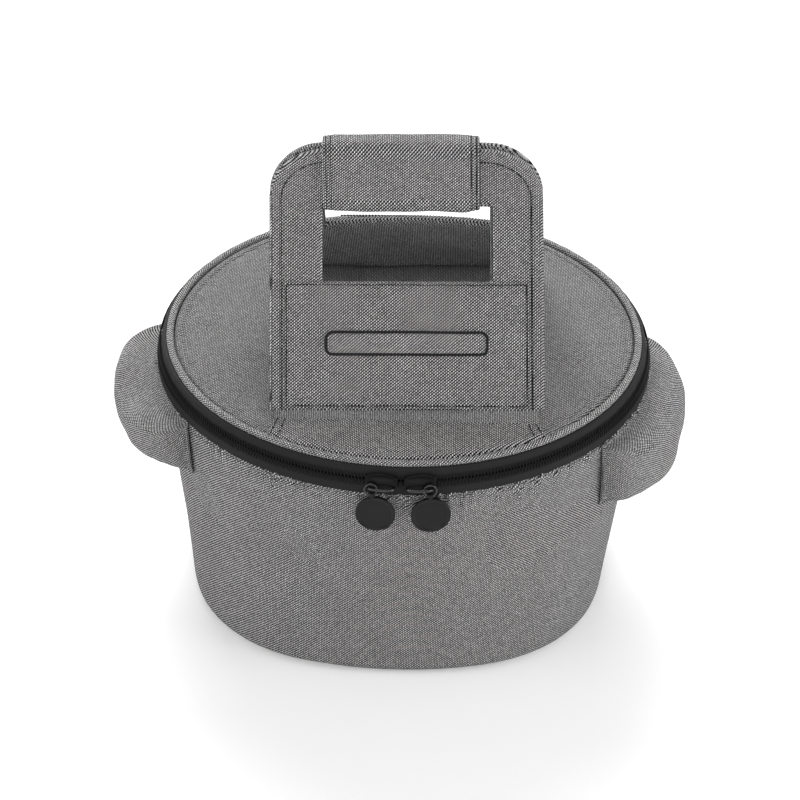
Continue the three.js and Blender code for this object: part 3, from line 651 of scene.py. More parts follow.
TWILL_PANEL = twill("twill_panel", grey(0.86), grey(0.17), grey(0.004))
TWILL_BODY = twill("twill_body", grey(0.74), grey(0.22), grey(0.016))
TWILL_POCKET = twill("twill_pocket", grey(0.78), grey(0.22), grey(0.014))
# The lid's copy of the grey twill is made darker than the others as painted shade on the lid; its weave is
# also flatter.
TWILL_LID_SHADED = twill("twill_lid_shaded", grey(0.60), grey(0.24), grey(0.026))
# Lighter copy of the grey twill, as painted light on the rolled edge of the lid; the blank patch is cut from
# it too.
TWILL_LIT = twill("twill_lit", grey(0.86), grey(0.24), grey(0.012))
LINING_CLOTH = plain_cloth("lining_cloth", grey(0.17), (0.0009, 0.0009), 0.3, 0.6)
INNER_CLOTH = plain_cloth("inner_cloth", grey(0.10), (0.0010, 0.0012), 0.4, 0.85)
TAPE_CLOTH = plain_cloth("tape_cloth", grey(0.0135), (0.0012, 0.0007), 0.5, 0.75)
LOOP_CLOTH = plain_cloth("loop_cloth", grey(0.02), (0.0016, 0.0016), 1.0, 0.95)
COIL_NYLON = smooth_solid("coil_nylon", grey(0.010), 0.5, 0.14, 900.0)
BLACK_METAL = smooth_solid("black_metal", grey(0.004), 0.3, 0.14, 700.0)
WIRE_METAL = smooth_solid("wire_metal", grey(0.008), 0.22, 0.75, 700.0)
PULL_RUBBER = smooth_solid("pull_rubber", grey(0.006), 0.32, 0.3, 500.0)
THREAD_DARK = smooth_solid("thread_dark", grey(0.010), 0.75, 0.2, 1500.0)
THREAD_GREY = smooth_solid("thread_grey", grey(0.20), 0.75, 0.2, 1500.0)
FOAM_CELLS = smooth_solid("foam_cells", grey(0.72, 0.03), 0.95, 0.3, 600.0)
BOARD = smooth_solid("board_fibre", grey(0.06), 0.8, 0.3, 300.0)


# Camera and tub

def add_camera():
    data = bpy.data.cameras.new("camera")
    data.sensor_width = SENSOR
    data.lens = FOCAL_PIXELS / PHOTO_SIDE * SENSOR
    data.shift_x = (PHOTO_SIDE / 2 - PRINCIPAL[0]) / PHOTO_SIDE
    data.shift_y = (PRINCIPAL[1] - PHOTO_SIDE / 2) / PHOTO_SIDE
    camera = bpy.data.objects.new("camera", data)
    bpy.context.scene.collection.objects.link(camera)
    back = Vector((0, -math.cos(ELEVATION), math.sin(ELEVATION)))
    up = Vector((0, math.sin(ELEVATION), math.cos(ELEVATION)))
    right = Vector((1, 0, 0))
    turned_right = right * math.cos(ROLL) + up * math.sin(ROLL)
    turned_up = up * math.cos(ROLL) - right * math.sin(ROLL)
    place = Vector((0, 0, CAMERA_TARGET)) + back * CAMERA_DISTANCE
    matrix = Matrix((turned_right, turned_up, back)).transposed().to_4x4()
    matrix.translation = place
    camera.matrix_world = matrix
    bpy.context.scene.camera = camera


def fullness(angle, z):
    """The soft wall stands a little squarer towards its foot than its round base."""
    low = smooth(TUB_HEIGHT * 0.62, 0, z)
    cosine, sine = np.cos(angle), np.sin(angle)
    corners = CORNER_FULLNESS * (0.5 - 0.5 * np.cos(4 * angle)) * (1 - 0.06 * cosine) * (0.75 - 0.35 * sine)
    front = FRONT_FULLNESS * np.maximum(-sine, 0) ** 4
    sides = SIDE_WAIST * (1 + WAIST_LEAN_SHARE * cosine) * cosine ** 4
    return low * (corners + front - sides)


def tub_surface(angle, z):
    """Radius of the outer cloth, with its bulge, soft dents and the puckers under the zip."""
    share = z / TUB_HEIGHT
    bulge = WALL_BULGE * np.sin(math.pi * np.clip(share, 0, 1))
    middle = np.sin(math.pi * np.clip(share, 0, 1)) ** 0.7
    dents = 0.0007 * middle * waves(angle + share * 0.3, (3, 5, 8, 13), 3)
    below = TUB_HEIGHT - z
    fade = np.exp(-np.maximum(below - SEAM_DROP, 0) / PUCKER_FADE) * smooth(0, SEAM_DROP * 0.6, below)
    patchy = 0.65 + 0.35 * waves(angle, (7, 11, 19), 5)
    pucker = PUCKER_DEPTH * fade * patchy * waves(angle, PUCKER_WAVES, 11)
    slant = PUCKER_DEPTH * 0.8 * fade * np.sin(57 * angle + 900 * below) * waves(angle, (29, 41), 13)
    seam = -SEAM_DEPTH * np.exp(-((below - SEAM_DROP) / SEAM_WIDTH) ** 2)
    return wall_radius(z) + bulge + dents + pucker + slant + seam + fullness(angle, z)


def add_tub():
    corner = [(BASE_RADIUS - BASE_ROUND * (1 - math.sin(t)), BASE_ROUND * (1 - math.cos(t)))
              for t in np.linspace(0, math.pi / 2, 8)[1:-1]]
    low_count = len(corner)
    near_top = TUB_HEIGHT - 0.016
    heights = np.r_[np.linspace(BASE_ROUND, near_top, TUB_ROWS - 45)[:-1],
                    np.linspace(near_top, TUB_HEIGHT - 0.0005, 45)]
    outer = corner + [(wall_radius(z), z) for z in heights]
    top = [(RIM_RADIUS - 0.0004, TUB_HEIGHT), (RIM_RADIUS - TWILL + 0.0002, TUB_HEIGHT)]
    inner = [(wall_radius(z) - TWILL, z) for z in np.linspace(TUB_HEIGHT - 0.001, 0.004, 8)]
    bottom = [(BASE_RADIUS - BASE_ROUND, 0.0012), (BASE_RADIUS - BASE_ROUND, 0.0002)]
    outline = np.array(outer + top + inner + bottom)
    surface = slice(low_count, low_count + len(heights))

    def ripple(a, r, z):
        r = r.copy()
        r[:, surface] = tub_surface(a[:, surface], z[:, surface])
        shift = tub_surface(a[:, :1], np.full_like(a[:, :1], BASE_ROUND)) - wall_radius(BASE_ROUND)
        r[:, :low_count] += shift * np.linspace(0.2, 1, low_count)[None, :]
        return r, z

    tub = revolve("tub_cloth", outline, TUB_COLUMNS, [TWILL_BODY], ripple)
    dress(tub, "tub", "grey_twill", "tub_wall")


def add_tub_seams():
    angle = np.linspace(0, FULL, 1400)
    z = np.full_like(angle, TUB_HEIGHT - SEAM_DROP)
    r = tub_surface(angle, z) + THREAD * 0.2
    path = ring_points(r, angle, z)
    out = np.stack([np.cos(angle), np.sin(angle), 0 * angle], -1)
    stitches("tub_seam_thread", [(path, out)], THREAD_GREY, "tub")


def add_base():
    edge = BASE_RADIUS - BASE_ROUND - GAP
    rounded = 0.0005
    outline = [(AXIS, 0.0), (edge * 0.4, 0.0), (edge * 0.8, 0.0), (edge - rounded, 0.0),
               (edge, rounded), (edge - rounded, TWILL), (edge * 0.5, TWILL), (AXIS, TWILL)]

    def squared(a, r, z):
        return r + fullness(a, 0 * z) * (r / edge) ** 2, z

    base = revolve("base_cloth", outline, 240, [TWILL_BODY], squared)
    dress(base, "tub", "grey_twill", "base_panel")
    low, high = TWILL + GAP, TWILL + BOARD_THICKNESS
    outline = [(AXIS, low), (BOARD_RADIUS, low), (BOARD_RADIUS + 0.0003, (low + high) / 2),
               (BOARD_RADIUS, high), (AXIS, high)]
    board = revolve("board_inside", outline, 180, [BOARD], squared)
    dress(board, "tub", "stiff_board", "base_board")
    angle = np.linspace(0, FULL, 900)
    seam = edge - 0.004 + fullness(angle, 0 * angle)
    path = ring_points(seam, angle, 0 * angle + THREAD)
    out = np.stack([0 * angle, 0 * angle, 0 * angle - 1], -1)
    stitches("base_seam_thread", [(path, out)], THREAD_DARK, "tub")


# Side pockets

def pocket_point(side, along, down, inset, soft=0.0):
    half = POCKET_HALF - inset / RIM_RADIUS
    hang = POCKET_HANG[side]
    middle = (POCKET_TOP + POCKET_BOTTOM) / 2 + hang / 2
    half_height = (POCKET_TOP - POCKET_BOTTOM) / 2 - inset - hang / 2
    turn = math.pi * down
    front = smooth(-0.2, -0.9, along)
    upper = POCKET_UPPER_POWER + (POCKET_FRONT_POWER - POCKET_UPPER_POWER) * front
    power = 2 / np.where(down < 0.5, upper, POCKET_LOWER_POWER[side])
    cosine, sine = np.cos(turn), np.sin(turn)
    lift = np.sign(cosine) * np.abs(cosine) ** power
    bulge = np.abs(sine) ** power
    end_power = np.where(along < 0, POCKET_END_POWER, POCKET_BACK_POWER)
    end = (1 - np.abs(along) ** end_power) ** (1 / end_power)
    z = middle + half_height * lift
    proud = (POCKET_DEPTH + POCKET_REACH[side] - inset) * end * bulge
    radius = wall_radius(z) + WALL_BULGE * np.sin(math.pi * z / TUB_HEIGHT) + GAP + proud
    radius = radius + soft * 0.0007 * soft_noise(along * 0.05, down * 0.05, 0.03, 31 + side) * end * bulge
    upper_face = smooth(0.5, 0.3, down) * end * smooth(0, 0.3, bulge)
    dent = soft * 0.0026 * upper_face * (0.4 + 0.6 * soft_noise(along * 0.07, down * 0.08, 0.05, 43 + side))
    sunk = 0.5 + 0.5 * soft_noise(along * 0.06, down * 0.03, 0.035, 41 + side)
    z = z - soft * 0.0009 * end * bulge * sunk - dent
    crest = np.exp(-((lift - 0.72) / 0.11) ** 2) * smooth(0.25, 0.75, bulge) * smooth(0.35, -0.6, along) * end
    radius = radius + soft * POCKET_RIDGE * crest
    radius = radius + POCKET_SPREAD[side] * smooth(0.7, -0.5, lift) * smooth(0.1, 0.9, bulge) * end
    z = z + soft * POCKET_RIDGE * crest * 0.8
    fallen = np.clip((POCKET_TOP - z) / (POCKET_TOP - POCKET_BOTTOM), 0, 1.2)
    angle = along * half - POCKET_TURN + POCKET_DRIFT[side] * fallen * smooth(0.1, -0.9, along)
    angle = angle - POCKET_MORE[side] * smooth(0.3, -1.0, along)
    return np.stack([side * radius * np.cos(angle), radius * np.sin(angle), z], -1)


def surface_uv(points):
    """Weave coordinates that follow the lengths along a curved grid."""
    middle = points[:, points.shape[1] // 2]
    down = np.linalg.norm(np.diff(points, axis=1), axis=2)
    u = arc_length(middle)
    v = np.concatenate([np.zeros((points.shape[0], 1)), np.cumsum(down, axis=1)], axis=1)
    v = v - v[:, v.shape[1] // 2][:, None]
    return np.stack([np.broadcast_to(u[:, None], v.shape), v], -1)


def pocket_grid(side, inset, soft, rows=64, columns=96):
    turn = np.linspace(-0.5, 0.5, columns) * math.pi
    share = np.linspace(0, 1, rows * 12)
    crowded = share + 0.16 * np.sin(2 * math.pi * share) * (share - 0.5) ** 2
    a, b = np.meshgrid(np.sin(turn) * 0.9999, crowded, indexing="ij")
    dense = pocket_point(side, a, b, inset, soft)
    points = np.stack([evened(line, rows) for line in dense])
    return points, surface_uv(points)


def settled(piece, held, pressure, gravity, frames, cap):
    """Lets cloth settle with its held points fixed, and moves no point further than cap."""
    mesh = piece.data
    start = coordinates(mesh)
    group = piece.vertex_groups.new(name="held")
    group.add([int(i) for i in held], 1.0, "REPLACE")
    cloth = piece.modifiers.new("cloth", "CLOTH")
    settings = cloth.settings
    for setting, value in CLOTH.items():
        setattr(settings, setting, value)
    settings.vertex_group_mass = "held"
    settings.use_pressure = pressure != 0
    settings.uniform_pressure_force = pressure
    settings.effector_weights.gravity = gravity
    cloth.collision_settings.use_collision = False
    scene = bpy.context.scene
    for number in range(1, frames + 1):
        scene.frame_set(number)
    evaluated = piece.evaluated_get(bpy.context.evaluated_depsgraph_get())
    end = coordinates(evaluated.data)
    piece.modifiers.remove(cloth)
    scene.frame_set(1)
    move = end - start
    size = np.linalg.norm(move, axis=1, keepdims=True)
    move = move * np.minimum(1, cap / np.maximum(size, 1e-9))
    mesh.vertices.foreach_set("co", (start + move).ravel())
    mesh.update()


def add_pockets():
    for name, side in (("left", -1), ("right", 1)):
        outer, uv = pocket_grid(side, 0.0, 1.0)
        inner, _ = pocket_grid(side, POCKET_PAD - 0.0006, 1.0)
        piece = slab(f"{name}_pocket_cloth", outer, inner, uv, [TWILL_POCKET, INNER_CLOTH], two_faced=True)
        columns, rows = outer.shape[:2]
        grid = np.arange(columns * rows).reshape(columns, rows)
        edge = np.unique(np.r_[grid[0], grid[-1], grid[:, 0], grid[:, -1], grid[1], grid[-2]])
        everything = np.arange(len(piece.data.vertices))
        free = np.setdiff1d(np.arange(columns * rows), edge)
        settled(piece, np.setdiff1d(everything, free), 1.2, 0.6, 16, 0.003)
        dress(piece, "tub", "grey_twill", f"{name}_pocket")
        lining, lining_uv = pocket_grid(side, POCKET_PAD + 0.0006, 1.0, 32, 48)
        lining_in, _ = pocket_grid(side, POCKET_PAD + 0.0006 + LINING, 1.0, 32, 48)
        inside = slab(f"{name}_pocket_inside", lining, lining_in, lining_uv, [LINING_CLOTH])
        dress(inside, "tub", "lining_fabric", f"{name}_pocket_lining")
        a = np.sin(np.linspace(-0.5, 0.5, 260) * math.pi) * 0.9999
        path = pocket_point(side, a, np.full_like(a, 0.988), 0.0)
        out = np.stack([np.zeros_like(a), np.zeros_like(a), np.full_like(a, -1)], -1)
        stitches(f"{name}_pocket_thread", [(path, out)], THREAD_DARK, "tub")


# Zip

def band_points(angle, z, proud):
    r = band_radius(z) + proud
    return ring_points(r, angle, z + 0 * angle)


def band_strip(name, low, high, start, end, proud, thickness, material, rows=10, columns=500, wave=0.0):
    a, z = np.meshgrid(np.linspace(start, end, columns), np.linspace(low, high, rows), indexing="ij")
    lift = proud + wave * waves(a, (23, 37, 53), 17) * np.sin((z - low) / (high - low) * math.pi)
    outer, inner = band_points(a, z, lift), band_points(a, z, lift - thickness)
    uv = np.stack([a * RIM_RADIUS, z], -1)
    return slab(name, outer, inner, uv, [material])


def turned_tape(name, low, start, end, columns=700):
    """Tape of the zip's upper half, turned in over the top to the lid's rolled edge."""
    top = band_top - 0.0006
    straight = np.linspace(low, top - 0.0012, 9)
    outer = [(band_radius(z), z) for z in straight]
    corner = (band_radius(top) - 0.0012, top - 0.0012)
    outer += [(corner[0] + 0.0012 * math.cos(t), corner[1] + 0.0012 * math.sin(t))
              for t in np.linspace(0.15, math.pi / 2, 7)]
    outer.append((cover_radius + GAP + ROLL_SHOWN - 0.0004, top + 0.0001))
    outer = np.array(outer)
    way = np.gradient(outer, axis=0)
    way = unit(way)
    inner = outer - np.stack([way[:, 1], -way[:, 0]], -1) * TAPE
    a, _ = np.meshgrid(np.linspace(start, end, columns), outer[:, 0], indexing="ij")
    soft = 0.00012 * waves(a, (37, 61, 89), 19)

    def at(line):
        return ring_points(line[:, 0] + soft, a, np.broadcast_to(line[:, 1], a.shape))

    arc = arc_length(outer)
    uv = np.stack([a * RIM_RADIUS, np.broadcast_to(arc, a.shape)], -1)
    return slab(name, at(outer), at(inner), uv, [TAPE_CLOTH])


def tooth_row(name, low, high, offset):
    """One row of the zip's coil: bars with a rounded head, side by side round the band."""
    start = math.pi / 2 + HINGE_HALF + STOP_ANGLE
    end = math.pi / 2 - HINGE_HALF - STOP_ANGLE + FULL
    radius = band_radius(band_middle)
    count = int((end - start) * radius / TOOTH_PITCH)
    places = start + (np.arange(count) + offset) * TOOTH_PITCH / radius
    sides, sections = 8, 7
    turn = np.linspace(0, FULL, sides, endpoint=False)
    share = np.linspace(0, 1, sections)
    half_width = TOOTH_WIDTH / 2 * np.array([0.25, 0.8, 0.85, 0.85, 1.1, 1.2, 0.4])
    half_depth = COIL_PROUD / 2 * np.array([0.3, 0.75, 0.95, 1.0, 1.0, 0.85, 0.3])
    heights = low + (high - low) * share
    a = places[:, None, None] + (share[None, :, None] - 0.5) * TOOTH_PITCH * 0.3 / radius
    a = a + half_width[None, :, None] * np.cos(turn)[None, None, :] / radius
    lift = GAP + COIL_PROUD / 2 + half_depth[None, :, None] * np.sin(turn)[None, None, :]
    z = np.broadcast_to(heights[None, :, None], a.shape)
    r = band_radius(z) + lift
    points = ring_points(r, a, z).reshape(-1, 3)
    one = rod_quads(sections, sides, [[0, 1, 2, 3], [0, 3, 4, 7], [4, 5, 6, 7]])
    quads = (one[None] + (np.arange(count) * sides * sections)[:, None, None]).reshape(-1, 4)
    return mesh_object(name, points, quads, points[:, :2], quads, [COIL_NYLON])


def add_zip():
    coil_height = (BAND_HEIGHT - COIL_SLIT) / 2 - TAPE_MARGIN
    coil_low = TUB_HEIGHT + TAPE_MARGIN
    slit_low = coil_low + coil_height
    slit_high = slit_low + COIL_SLIT
    start, end = math.pi / 2 + HINGE_HALF, math.pi / 2 - HINGE_HALF + FULL
    lower = band_strip("lower_tape", TUB_HEIGHT - 0.001, slit_low, start, end, 0.0, TAPE, TAPE_CLOTH)
    dress(lower, "tub", "black_tape", "lower_zip_tape")
    upper = turned_tape("upper_tape", slit_high, start, end)
    dress(upper, "lid", "black_tape", "upper_zip_tape")
    row = tooth_row("lower_teeth", coil_low, slit_low + TOOTH_OVERLAP, 0.25)
    dress(row, "tub", "zip_coil", "lower_zip_coil")
    row = tooth_row("upper_teeth", slit_high + coil_height, slit_high - TOOTH_OVERLAP, 0.75)
    dress(row, "lid", "zip_coil", "upper_zip_coil")

    hinge_half = HINGE_HALF - GAP / RIM_RADIUS
    hinge = band_strip("hinge_cloth", TUB_HEIGHT - 0.001, band_top, math.pi / 2 - hinge_half,
                       math.pi / 2 + hinge_half, 0.0, TAPE, TWILL_BODY, 24, 80, 0.0002)
    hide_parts("lid_hinge_fabric")
    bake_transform(hinge)


def add_wall_layers():
    """Lining and foam of the wall, with their mouths into the pockets."""
    columns, rows = 480, 60
    low = 0.0038
    high = TUB_HEIGHT - 0.0015
    a, z = np.meshgrid(np.linspace(0, FULL, columns + 1), np.linspace(low, high, rows), indexing="ij")
    dents = 0.0004 * waves(a + z * 4, (5, 9, 16, 27), 23) * np.sin(np.pi * (z - low) / (high - low))
    seam = sum(np.exp(-(((a - s + math.pi) % FULL - math.pi) * 0.15 / 0.0012) ** 2)
               for s in (math.pi / 2, -math.pi / 2, math.radians(35), math.radians(145)))
    r = wall_radius(z) - LINING_INSET + dents - 0.0006 * seam
    outer, inner = ring_points(r, a, z), ring_points(r - LINING, a, z)
    half = POCKET_HALF - POCKET_INSET / RIM_RADIUS
    mid_a, mid_z = (a[:-1, :-1] + a[1:, 1:]) / 2, (z[:-1, :-1] + z[1:, 1:]) / 2
    tall = (mid_z > POCKET_BOTTOM + POCKET_INSET) & (mid_z < POCKET_TOP - POCKET_INSET)
    filled = np.ones(mid_a.shape, bool)
    for middle in (FULL - POCKET_TURN, math.pi + POCKET_TURN):
        near = np.abs((mid_a - middle + math.pi) % FULL - math.pi) < half
        filled &= ~(near & tall)
    piece = slab("wall_inside", outer, inner, np.stack([a * RIM_RADIUS, z], -1), [LINING_CLOTH], filled)
    dress(piece, "tub", "lining_fabric", "wall_lining")
    r_out = tub_surface(a, np.minimum(z, TUB_HEIGHT - PUCKER_FADE)) - TWILL - GAP
    r_out = np.maximum(r_out, r + GAP + MM)
    outer, inner = ring_points(r_out, a, z), ring_points(r + GAP, a, z)
    piece = slab("wall_padding", outer, inner, np.stack([a * RIM_RADIUS, z], -1), [FOAM_CELLS], filled)
    dress(piece, "tub", "foam", "wall_foam")


def add_floor_lining():
    def quilt(a, r, z):
        lift = 0.0005 * np.sin(r / 0.018 * math.pi) * np.where(z > 0.0084, 1, 0)
        return r, z + lift

    floor_radius = wall_radius(FLOOR_LOW) - 0.0069
    outline = [(AXIS, FLOOR_LOW), (floor_radius, FLOOR_LOW), (floor_radius + 0.0001, FLOOR_EDGE)]
    outline += [(x, FLOOR_HIGH) for x in np.linspace(floor_radius - 0.0002, AXIS, 30)]
    piece = revolve("floor_inside", outline, 180, [LINING_CLOTH], quilt)
    dress(piece, "tub", "lining_fabric", "base_lining")


def add_rim_tape():
    def cord_like(a, r, z):
        return r + 0.0001 * np.sin(300 * a), z

    middle = (RIM_RADIUS - (RIM_TAPE_OUTER + RIM_TAPE_INNER) / 2, TUB_HEIGHT - 0.0004)
    wide = (RIM_TAPE_INNER - RIM_TAPE_OUTER) / 2
    outline = [(middle[0] + wide * math.cos(t), middle[1] + RIM_TAPE_TALL * math.sin(t))
               for t in np.linspace(0, FULL, 17)[:-1]]
    piece = revolve("rim_tape", outline, 360, [TAPE_CLOTH], cord_like)
    dress(piece, "tub", "black_tape", "rim_binding")


# Lid

def crown(r):
    """Height of the lid's plain curve, before its padding."""
    return lid_edge + LID_CROWN * (1 - (r / cover_radius) ** 2)


def cover_height(r):
    """Height of the cover's outer face, with the puffed band that is stitched down inside its edge."""
    from_edge = cover_radius - r
    share = np.clip(from_edge / COVER_EDGE_BAND, 0, 1)
    puff = COVER_EDGE_PUFF * np.sin(math.pi * share) ** 0.6
    valley = 0.0004 * np.exp(-((from_edge - COVER_EDGE_BAND) / 0.0011) ** 2)
    drop = COVER_EDGE_DROP * np.exp(-from_edge / COVER_EDGE_FADE)
    return crown(r) + puff - valley - drop


def back_dip(angle, radius):
    """The uncut back edge of the lid hangs a little between the ends of the zip."""
    near = np.exp(-(((angle - math.pi / 2 + math.pi) % FULL - math.pi) / BACK_DIP_HALF) ** 2)
    return BACK_DIP * near * smooth(cover_radius * 0.8, cover_radius, radius)


def dipped(a, r, z):
    return r, z - back_dip(a, r)


def add_lid_cover():
    radii = np.r_[np.linspace(AXIS, cover_radius - 0.012, 50)[:-1],
                  np.linspace(cover_radius - 0.012, cover_radius - 0.0002, 42)]
    top = [(r, cover_height(np.array(r))) for r in radii[::-1]]
    under = [(r, crown(r) - TWILL)
             for r in np.r_[AXIS, np.linspace(0.02, cover_radius - 0.0002, 12)]]
    outline = np.array(under + top)

    def ripple(a, r, z):
        upper = np.arange(z.shape[1]) >= len(under)
        x, y = r * np.cos(a), r * np.sin(a)
        inward = cover_radius - r
        soft = 0.0006 * soft_noise(x, y, 0.07, 51) * smooth(0, 0.03, inward)
        edge = smooth(COVER_EDGE_BAND + 0.007, COVER_EDGE_BAND, inward)
        pucker = 0.00022 * waves(a, (139, 167, 211, 97), 53) * edge
        z = z + np.where(upper, soft + pucker, soft) - back_dip(a, r)
        return r, z

    # The cover wears the darker lid copy of the twill: painted shade on the lid.
    cover = revolve("cover_cloth", outline, 720, [TWILL_LID_SHADED], ripple)
    mesh = cover.data
    corner = np.empty(len(mesh.loops), np.int32)
    mesh.loops.foreach_get("vertex_index", corner)
    flat = coordinates(mesh)[corner][:, :2]
    mesh.uv_layers["weave"].data.foreach_set("uv", flat.astype(np.float32).ravel())
    dress(cover, "lid", "grey_twill", "lid_cover")


def add_rolled_edge():
    middle = (cover_radius + GAP + ROLL_SHOWN / 2, roll_low + ROLL_HEIGHT / 2)
    turn = np.linspace(0, FULL, 28, endpoint=False)
    power = 2 / 2.6
    outline = np.stack([
        middle[0] + ROLL_SHOWN / 2 * np.sign(np.cos(turn)) * np.abs(np.cos(turn)) ** power,
        middle[1] + ROLL_HEIGHT / 2 * np.sign(np.sin(turn)) * np.abs(np.sin(turn)) ** power,
    ], -1)

    def twist(a, r, z):
        swell = 1 + 0.05 * waves(a + (z - middle[1]) * 60, (61, 83, 109), 57)
        return middle[0] + (r - middle[0]) * swell, middle[1] + (z - middle[1]) * swell - back_dip(a, r)

    # The rolled edge wears the lighter copy of the twill: painted light on the roll.
    roll = revolve("rolled_cloth", outline, 900, [TWILL_LIT], twist)
    dress(roll, "lid", "grey_twill", "lid_rolled_edge")


def add_lid_layers():
    """Lining, binding and foam on the lid's inner side."""
    low, high = lid_underside, lid_underside + LINING

    def quilt(a, r, z):
        under = z < (low + high) / 2
        x, y = r * np.cos(a), r * np.sin(a)
        lumps = np.where(under, 0.0004 * soft_noise(x, y, 0.05, 61) * smooth(0, 0.02, cover_radius - r), 0)
        return r, z - lumps - back_dip(a, r)

    outline = [(r, low) for r in np.linspace(AXIS, cover_radius - 0.0004, 40)]
    outline += [(cover_radius - 0.0001, (low + high) / 2), (cover_radius - 0.0004, high), (AXIS, high)]
    lining = revolve("lid_inside", outline, 240, [LINING_CLOTH], quilt)
    dress(lining, "lid", "lining_fabric", "lid_lining")

    binding_high = roll_low - GAP
    turn = np.linspace(0, FULL, 16, endpoint=False)
    wide, tall = 0.0022 / 2, (binding_high - low) / 2
    outline = [(cover_radius + GAP + wide * (1 + math.cos(t)), low + tall * (1 + math.sin(t))) for t in turn]
    binding = revolve("lid_tape", outline, 360, [TAPE_CLOTH], dipped)
    dress(binding, "lid", "black_tape", "lid_binding")

    low = lid_underside + LINING + GAP
    top = [(r, crown(r) - TWILL - GAP - 0.0008)
           for r in np.linspace(cover_radius - 0.0022, AXIS, 40)]
    beside = (cover_radius - 0.0018, (low + top[0][1]) / 2)
    outline = [(AXIS, low), (cover_radius - 0.0022, low), beside] + top
    padding = revolve("lid_padding", outline, 180, [FOAM_CELLS], dipped)
    dress(padding, "lid", "foam", "lid_foam")


# Handles

def tilted(points):
    """The soft handles stand a little to one side, about the middle of their grips."""
    x, y, z = points[..., 0], points[..., 1], points[..., 2]
    return np.stack([x - (z - ASIDE_HEIGHT) * HANDLE_ASIDE, y, z + x * HANDLE_TILT], -1)


def handle_place(side, x, along, out, pinch=WINDOW_PINCH):
    """Place on a handle: across, up along the panel from its fold line, out towards its outer face."""
    x, along, out = np.broadcast_arrays(x, along, out)
    from_window = np.maximum(np.abs(x) - WINDOW_HALF, np.maximum(WINDOW_LOW - along, along - WINDOW_HIGH))
    out = out * (1 - pinch * np.exp(-np.maximum(from_window, 0) / WINDOW_PINCH_FADE))
    hollow = (np.minimum(np.abs(x), WINDOW_HALF) / WINDOW_HALF) ** 2
    drop = HANDLE_SAG[side] * hollow - HANDLE_LIFT[side]
    out = out - drop * np.sin(math.pi * np.clip(along / straight_length, 0, 1))
    past_bend = smooth(straight_length * 0.8, straight_length + bend_length, along)
    out = out + HANDLE_EASE * smooth(HANDLE_EASE_FROM, HANDLE_EASE_TO, np.abs(x)) * past_bend
    angle = HANDLE_LEAN + np.clip(along - straight_length, 0, bend_length) / HANDLE_BEND
    straight = np.minimum(along, straight_length)
    upright = np.maximum(along - straight_length - bend_length, 0) * HANDLE_TOP_SHARE[side]
    toward = (straight * math.cos(HANDLE_LEAN) + HANDLE_BEND * (np.sin(angle) - math.sin(HANDLE_LEAN))
              - out * np.sin(angle))
    rise = (straight * math.sin(HANDLE_LEAN) + HANDLE_BEND * (math.cos(HANDLE_LEAN) - np.cos(angle))
            + upright + out * np.cos(angle))
    y = HANDLE_MIDDLE + side * (HANDLE_SPACING / 2 - toward)
    return tilted(np.stack([-side * x, y, HANDLE_FOLD + rise], -1))


def half_width(along):
    past = np.clip(along - (HANDLE_LENGTH - HANDLE_CORNER), 0, HANDLE_CORNER)
    return HANDLE_HALF_WIDTH - HANDLE_CORNER + np.sqrt(HANDLE_CORNER ** 2 - past ** 2)


def panel_rows():
    start = HANDLE_LENGTH - HANDLE_CORNER
    low = np.linspace(HANDLE_FOOT, WINDOW_LOW, 64)[:-1]
    window = np.linspace(WINDOW_LOW, WINDOW_HIGH, 39)[:-1]
    middle = np.linspace(WINDOW_HIGH, start, 6)[:-1]
    top = start + HANDLE_CORNER * np.sin(np.linspace(0, math.pi / 2, 36))
    return np.r_[low, window, middle, top]


def panel_relief(x, along, seed):
    """Soft unevenness of a panel's face, flat where it is sewn."""
    side_gap = half_width(along) - np.abs(x)
    window_gap = np.maximum(np.abs(x) - WINDOW_HALF, np.maximum(WINDOW_LOW - along, along - WINDOW_HIGH))
    near = np.minimum(np.minimum(side_gap, HANDLE_LENGTH - along), window_gap)
    calm = smooth(BINDING_WIDTH * 0.6, BINDING_WIDTH * 2.2, near)
    large, small = soft_noise(x, along, 0.06, seed), soft_noise(x, along, 0.016, seed + 1)
    return (0.0007 * large + 0.00016 * small) * calm


def panel_sheet(name, side, low, high, material):
    rows = panel_rows()
    share = WINDOW_HALF / HANDLE_HALF_WIDTH
    outer_columns = np.linspace(share, 1, 28)
    columns = np.r_[-outer_columns[::-1], np.linspace(-share, share, 87)[1:-1], outer_columns]
    along, s = np.meshgrid(rows, columns, indexing="ij")
    x = s * half_width(along) * (1 - 0.0004 / HANDLE_HALF_WIDTH)
    bump = panel_relief(x, along, PANEL_SEED)
    outer = handle_place(side, x, along, high + bump)
    inner = handle_place(side, x, along, low + bump)
    middle_row = (rows[:-1] + rows[1:]) / 2
    middle_column = (columns[:-1] + columns[1:]) / 2
    in_rows = (middle_row > WINDOW_LOW) & (middle_row < WINDOW_HIGH)
    in_columns = np.abs(middle_column) < share
    filled = ~(in_rows[:, None] & in_columns[None, :])
    piece = slab(name, outer, inner, np.stack([x, along], -1), [material], filled)
    flip_if_inside_out(piece)
    return piece


